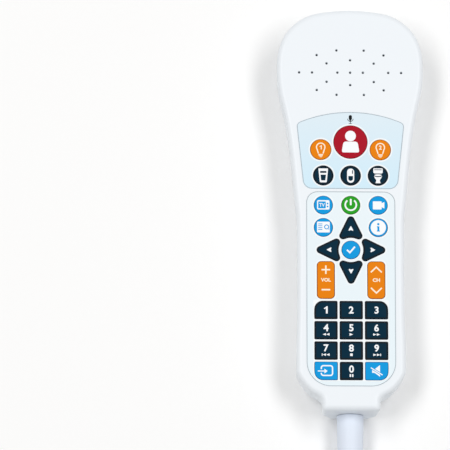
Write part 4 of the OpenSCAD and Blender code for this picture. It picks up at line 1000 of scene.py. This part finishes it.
chevrons = [stroke([(-2.9, 4.2 * way), (0, 7.0 * way), (2.9, 4.2 * way)], 0.75) for way in (1, -1)]
legend("rocker_volume", [plus, block(-2.3, -5.75, 2.3, -4.9), lettering("VOL", 1.95, 0, 0, 5.3, 0.4)],
       CREAM_INK)
legend("rocker_channel", [*chevrons, lettering("CH", 1.95, 0, 0, 3.9, 0.4)], CREAM_INK)
print("select key at", [round(c, 1) for c in select])

# %% [markdown]
# The number block has large digits, and small transport marks under seven of them: rewind, play,
# forward, back one, stop, on one and pause. Input and mute fill the block's lower corners.

# %% Number block legends
TRANSPORT_Y = -2.25


def triangle(x, way, wide=1.75, high=1.35):
    """A small solid arrowhead below a digit, which points to the right or, with way -1, to the left."""
    back_x = x - way * wide / 2
    return [(back_x, TRANSPORT_Y - high / 2), (x + way * wide / 2, TRANSPORT_Y),
            (back_x, TRANSPORT_Y + high / 2)]


def pair(way):
    return [triangle(x, way) for x in (-0.95, 0.95)]


TRANSPORT = {4: pair(-1), 5: [triangle(0, 1, 1.9, 1.5)], 6: pair(1),
             7: [block(-2.3, -2.9, -1.9, -1.6), *pair(-1)], 8: [block(-0.68, -2.93, 0.68, -1.57)],
             9: [*pair(1), block(1.9, -2.9, 2.3, -1.6)],
             0: [block(-1.0, -3.25, -0.24, -1.75), block(0.24, -3.25, 1.0, -1.75)]}
DIGIT_HEIGHT, RAISED, RAISED_ZERO = 3.9, 1.35, 1.0
for digit in range(10):
    marks = TRANSPORT.get(digit, [])
    raised = (RAISED if digit else RAISED_ZERO) if marks else 0
    legend(f"key_{digit}", [figure(digit, DIGIT_HEIGHT, 0, raised), *marks])
CORNERS = (-1.4, 1.6, 180), (2.25, 1.6, 90), (2.25, -1.35, 0), (-1.4, -1.35, -90)
frame_line = [p for x, y, start in CORNERS for p in arc(x, y, 1.15, start, start - 90, 6)]
input_arrow = [(-4.4, -0.4), (-0.9, -0.4), (-0.9, -1.4), (0.8, -0.12), (-0.9, 1.15), (-0.9, 0.16),
               (-4.4, 0.16)]
legend("key_input", [stroke([(-2.55, 0.85), *frame_line, (-2.55, -1.1)], 0.7), input_arrow])
# The mute sign is a horn that a slanting bar cuts in two
horn = [(-1.01, 1.1), (1.67, -0.57), (1.67, 3.2)]
horn_foot = [(-2.5, 0.61), (-2.5, -1.0), (-1.2, -1.0), (1.67, -3.1), (1.67, -1.98)]
legend("key_mute", [horn, horn_foot, stroke([(-3.2, 1.75), (3.0, -2.1)], 0.55)])
print("transport marks under", sorted(TRANSPORT))

# %% [markdown]
# The navy keys have a near-black band, half a millimetre wide, along the edge of the face: painted shade at
# the rim, which makes the arrows look so crisp.

# %% Navy borders
def distance(q, a, way):
    """How far a point is from a side that starts at a and runs along way."""
    return (a + way * min(1, max(0, (q - a).dot(way) / way.length_squared)) - q).length


def inset(loop, by):
    """A loop moved inwards, without the points that would cross over in a tight corner."""
    sides = [(a, b - a) for a, b in zip(loop, loop[1:] + loop[:1])]
    dense = [a + way * k / n for a, way in sides for n in [math.ceil(way.length / 0.6)] for k in range(n)]
    return [q for q in grown(dense, -by) if min(distance(q, a, way) for a, way in sides) > 0.97 * by]


RIM_SHADE_OUT, RIM_SHADE_IN = 0.25, 0.75
navy = [name for name in keys if SLOT_OF[name] == "key_navy"]
for name in navy:
    edge = [p - middle(key_loops[name]) for p in key_loops[name]]
    # Painted shade: a near-black band inside the edge of each navy key's face
    legend(name, [[inset(edge, RIM_SHADE_OUT), inset(edge, RIM_SHADE_IN)]], black_ink_and_rim_shade, name="painted_rim_shade_")
print(len(navy), "borders")

# %% [markdown]
# Above the nurse call key a small black microphone is printed on the film, and a pinhole through it
# lets the voice in.

# %% Microphone mark
pill = block(mic_x - 0.85, mic_y + 0.1, mic_x + 0.85, mic_y + 2.9, 0.84)
printed("microphone_mark", [
    [pill], [stroke(arc(mic_x, mic_y + 0.9, 1.5, 180, 360, 20), 0.3)],
    [block(mic_x - 0.16, mic_y - 1.8, mic_x + 0.16, mic_y - 0.55)],
    [block(mic_x - 0.9, mic_y - 2.0, mic_x + 0.9, mic_y - 1.72)]], black_ink_and_rim_shade)
print("microphone mark over the pinhole at", [round(c, 1) for c in (mic_x, mic_y)])

# %% [markdown]
# ## Inside the casing
# The parts inside are hidden until a cut shows them, but each still gets the finish of what it is made of.
# Their CAD shapes are right as they are, so only their materials change.

# %% Finishes of the inner parts
def dress(node, material):
    """Gives a CAD node the material that it is made of."""
    coat(frame["nodes"][node].data, material)


inner = {
    # Silicone rubber cord: dull and slightly see-through grey
    "casing_seal": finish("silicone_rubber", "#c4c8cb", 0.6, grain=0.3, depth=0.01, ior=1.43),
    # Zinc-plated steel, tumbled: a fine scattered sparkle
    "casing_screws": finish("zinc_plated_steel", "#b9bcc0", 0.32, grain=0.12, depth=0.004, metallic=1.0),
    # Polyester spacer film, frosted: a pale, even haze
    "dome_sheet": finish("frosted_polyester", "#e2ddce", 0.55, grain=0.2, depth=0.003, ior=1.6),
    # Spring stainless, stamped and left bright
    "snap_domes": finish("stainless_spring_steel", "#cbc8bd", 0.25, grain=0.1, depth=0.002, metallic=1.0),
    # Filled epoxy, moulded: charcoal with a fine matte tooth
    "board_chips": finish("moulded_epoxy", "#222428", 0.6, grain=0.15, depth=0.005, ior=1.55),
    # Natural nylon: creamy and waxy
    "wire_socket": finish("natural_nylon", "#ebe5d6", 0.45, grain=0.3, depth=0.005, ior=1.53),
    # Barium ferrite, ground flat: dark grey like slate
    "speaker_magnet": finish("barium_ferrite", "#3b3d42", 0.5, grain=0.25, depth=0.01),
    # Steel sheet, pressed and passivated: a soft sheen, grey with a touch of yellow
    "speaker_frame": finish("passivated_steel", "#a3a69c", 0.38, grain=0.5, depth=0.004, metallic=1.0),
    # Nitrile rubber, compression moulded: black and dull
    "cone_surround": finish("nitrile_rubber", "#1e1f22", 0.7, grain=0.25, depth=0.01, ior=1.52),
    # Paper pulp with long fibres, pressed and dyed black: rough, without any shine
    "speaker_cone": finish("pressed_paper", "#202226", 0.85, grain=0.8, depth=0.06, mottle=0.25, detail=6.0),
    # Aluminium can of the microphone, deep drawn: smooth and bright
    "microphone": finish("drawn_aluminium", "#c6c9cc", 0.28, grain=0.2, depth=0.002, metallic=1.0),
    # Glass-filled nylon of the cable clamp, moulded: dark grey and dry
    "cable_clamp": finish("glass_filled_nylon", "#33363a", 0.6, grain=0.3, depth=0.012, ior=1.53)}
for node, material in inner.items():
    dress(node, material)
for node in ("small_screws", "speaker_screws"):
    dress(node, inner["casing_screws"])
print(len(inner) + 2, "inner parts dressed")

# %% [markdown]
# Some inner finishes need a pattern of their own. The grille cloth is woven, with a thread every 0.5 mm
# each way, which two crossed wave textures give. The circuit board has fine copper tracks under its green
# lacquer. The wires are coloured by which conductor they are, told apart by where they run.

# %% Cloth and board
THREAD = 0.5
# Polyester yarn, woven and dyed dark grey: dry, with a fine even net
cloth = finish("woven_polyester", "#4a4d50", 0.9, grain=0.3, depth=0.02)
tree = cloth.node_tree
# A wave texture repeats every tau / (20 * scale), so this scale gives one thread each THREAD mm
threads = [add(tree, "ShaderNodeTexWave", {"Vector": on_object(tree), "Scale": math.tau / 20 / (THREAD * MM)},
               bands_direction=way).outputs["Fac"] for way in "XY"]
weave = add(tree, "ShaderNodeMath", dict(enumerate(threads)), operation="MAXIMUM")
relief = add(tree, "ShaderNodeBump", {"Height": weave.outputs["Value"], "Distance": 0.12 * MM})
feed(tree, relief.outputs["Normal"], "Normal")
dress("grille_cloth", cloth)

# Epoxy lacquer over copper and glass board: a smooth green gloss
lacquer = finish("green_solder_mask", "#1f6b3f", 0.3, grain=0.4, depth=0.003, ior=1.5)
# Tracks 0.5 mm wide, 2.54 mm apart
tracks = add(lacquer.node_tree, "ShaderNodeTexBrick", {
    "Vector": on_object(lacquer.node_tree), "Scale": 1.0, "Mortar Size": 0.25 * MM,
    "Brick Width": 12.7 * MM, "Row Height": 2.54 * MM, "Color1": from_hex("#1f6b3f"),
    "Color2": from_hex("#1d653b"), "Mortar": from_hex("#3f8f57")})
feed(lacquer.node_tree, tracks.outputs["Color"])
dress("circuit_board", lacquer)
print("one thread each", THREAD, "mm")

# %% Conductors by their place
BAND_HALF, JACKET_Y, JACKET_COLOUR = 5, -83.9, "#e4ecf9"


def wire_finish(name, colours, positions, fan=None, jacket=None):
    """PVC insulation, coloured in bands across X at positions in mm; a jacket covers it below a Y."""
    material = finish(name, colours[0], 0.4, grain=0.3, depth=0.004, ior=1.53)
    tree = material.node_tree
    split = add(tree, "ShaderNodeSeparateXYZ", {"Vector": on_object(tree)})
    across = split.outputs["X"]
    if fan:
        y0, y1, narrow, broad = fan
        spread = add(tree, "ShaderNodeMapRange", {"Value": split.outputs["Y"], "From Min": y0 * MM,
                                                  "From Max": y1 * MM, "To Min": narrow, "To Max": broad})
        across = add(tree, "ShaderNodeMath", {0: across, 1: spread.outputs["Result"]},
                     operation="DIVIDE").outputs["Value"]
    shares = [0] + [(x + BAND_HALF) / (2 * BAND_HALF) for x in positions]
    tone = tone_ramp(tree, across, -BAND_HALF, BAND_HALF, list(zip(shares, colours)), "CONSTANT")
    if jacket:
        beyond = add(tree, "ShaderNodeMath", {0: split.outputs["Y"], 1: jacket * MM},
                     operation="GREATER_THAN")
        tone = add(tree, "ShaderNodeMix", {0: beyond.outputs["Value"], 6: from_hex(JACKET_COLOUR), 7: tone},
                   data_type="RGBA").outputs[2]
    feed(tree, tone)
    return material


dress("speaker_leads", wire_finish("red_and_black_pvc", ["#1b1c1f", "#b01c24"], [0]))
dress("inner_cable", wire_finish("four_wire_pvc", ["#b01c24", "#1b1c1f", "#f2f2f0", "#2f7d4f"],
                                 [-1.0, 0, 1.0], (-84, -69, 1.4, 2.5), JACKET_Y))

# %% [markdown]
# ## Table and light
# The photograph is a cut-out on white, lit softly from both sides. A pale matte table stands in for the
# white. No lamp may stand where the camera would see it mirrored in the face, because that veil of light
# washes out every printed colour. So two long strip boxes stand left and right, as on a copying stand, 25
# degrees off the vertical. The side walls and the lower end stay darker than the face, which draws the
# outline in grey. The sky fills the shade with a dimmer light. The plain view transform keeps the colours.

# %% Table, lamps and sky
TABLE_HALF, LAMP_SIZE, LAMP_WATTS, LAMP_AT = 2, (2.4, 0.9), 43.5, (1.4, 0.3, 3.1)
SKY, SKY_STRENGTH = (1, 0.99, 0.97, 1), 0.37
# A painted board: white, flat and dull, so that no lamp is mirrored in it
table_finish = finish("matte_table", "#fdfdfd", 0.9, grain=2.0, depth=0.01, mottle=0.01, gleam=0.1)
table_corners = [p.to_3d() for p in block(-TABLE_HALF, -TABLE_HALF, TABLE_HALF, TABLE_HALF)]
table = rough_out("table", (table_corners, [(0, 1, 2, 3)]))
coat(table.data, table_finish)
for side in (-1, 1):
    lamp = bpy.data.lights.new("strip_box", "AREA")
    lamp.shape, (lamp.size, lamp.size_y), lamp.energy = "RECTANGLE", LAMP_SIZE, LAMP_WATTS
    strip_box = add_object("strip_box", lamp)
    strip_box.location = (side * LAMP_AT[0], *LAMP_AT[1:])
    strip_box.rotation_euler = strip_box.location.to_track_quat("Z", "Y").to_euler()
scene.world = scene.world or bpy.data.worlds.new("room")
scene.world.use_nodes = True
sky = scene.world.node_tree.nodes["Background"]
sky.inputs["Color"].default_value, sky.inputs["Strength"].default_value = SKY, SKY_STRENGTH
scene.view_settings.view_transform = "Standard"
print("lamps", LAMP_WATTS, "W each, sky", SKY_STRENGTH)
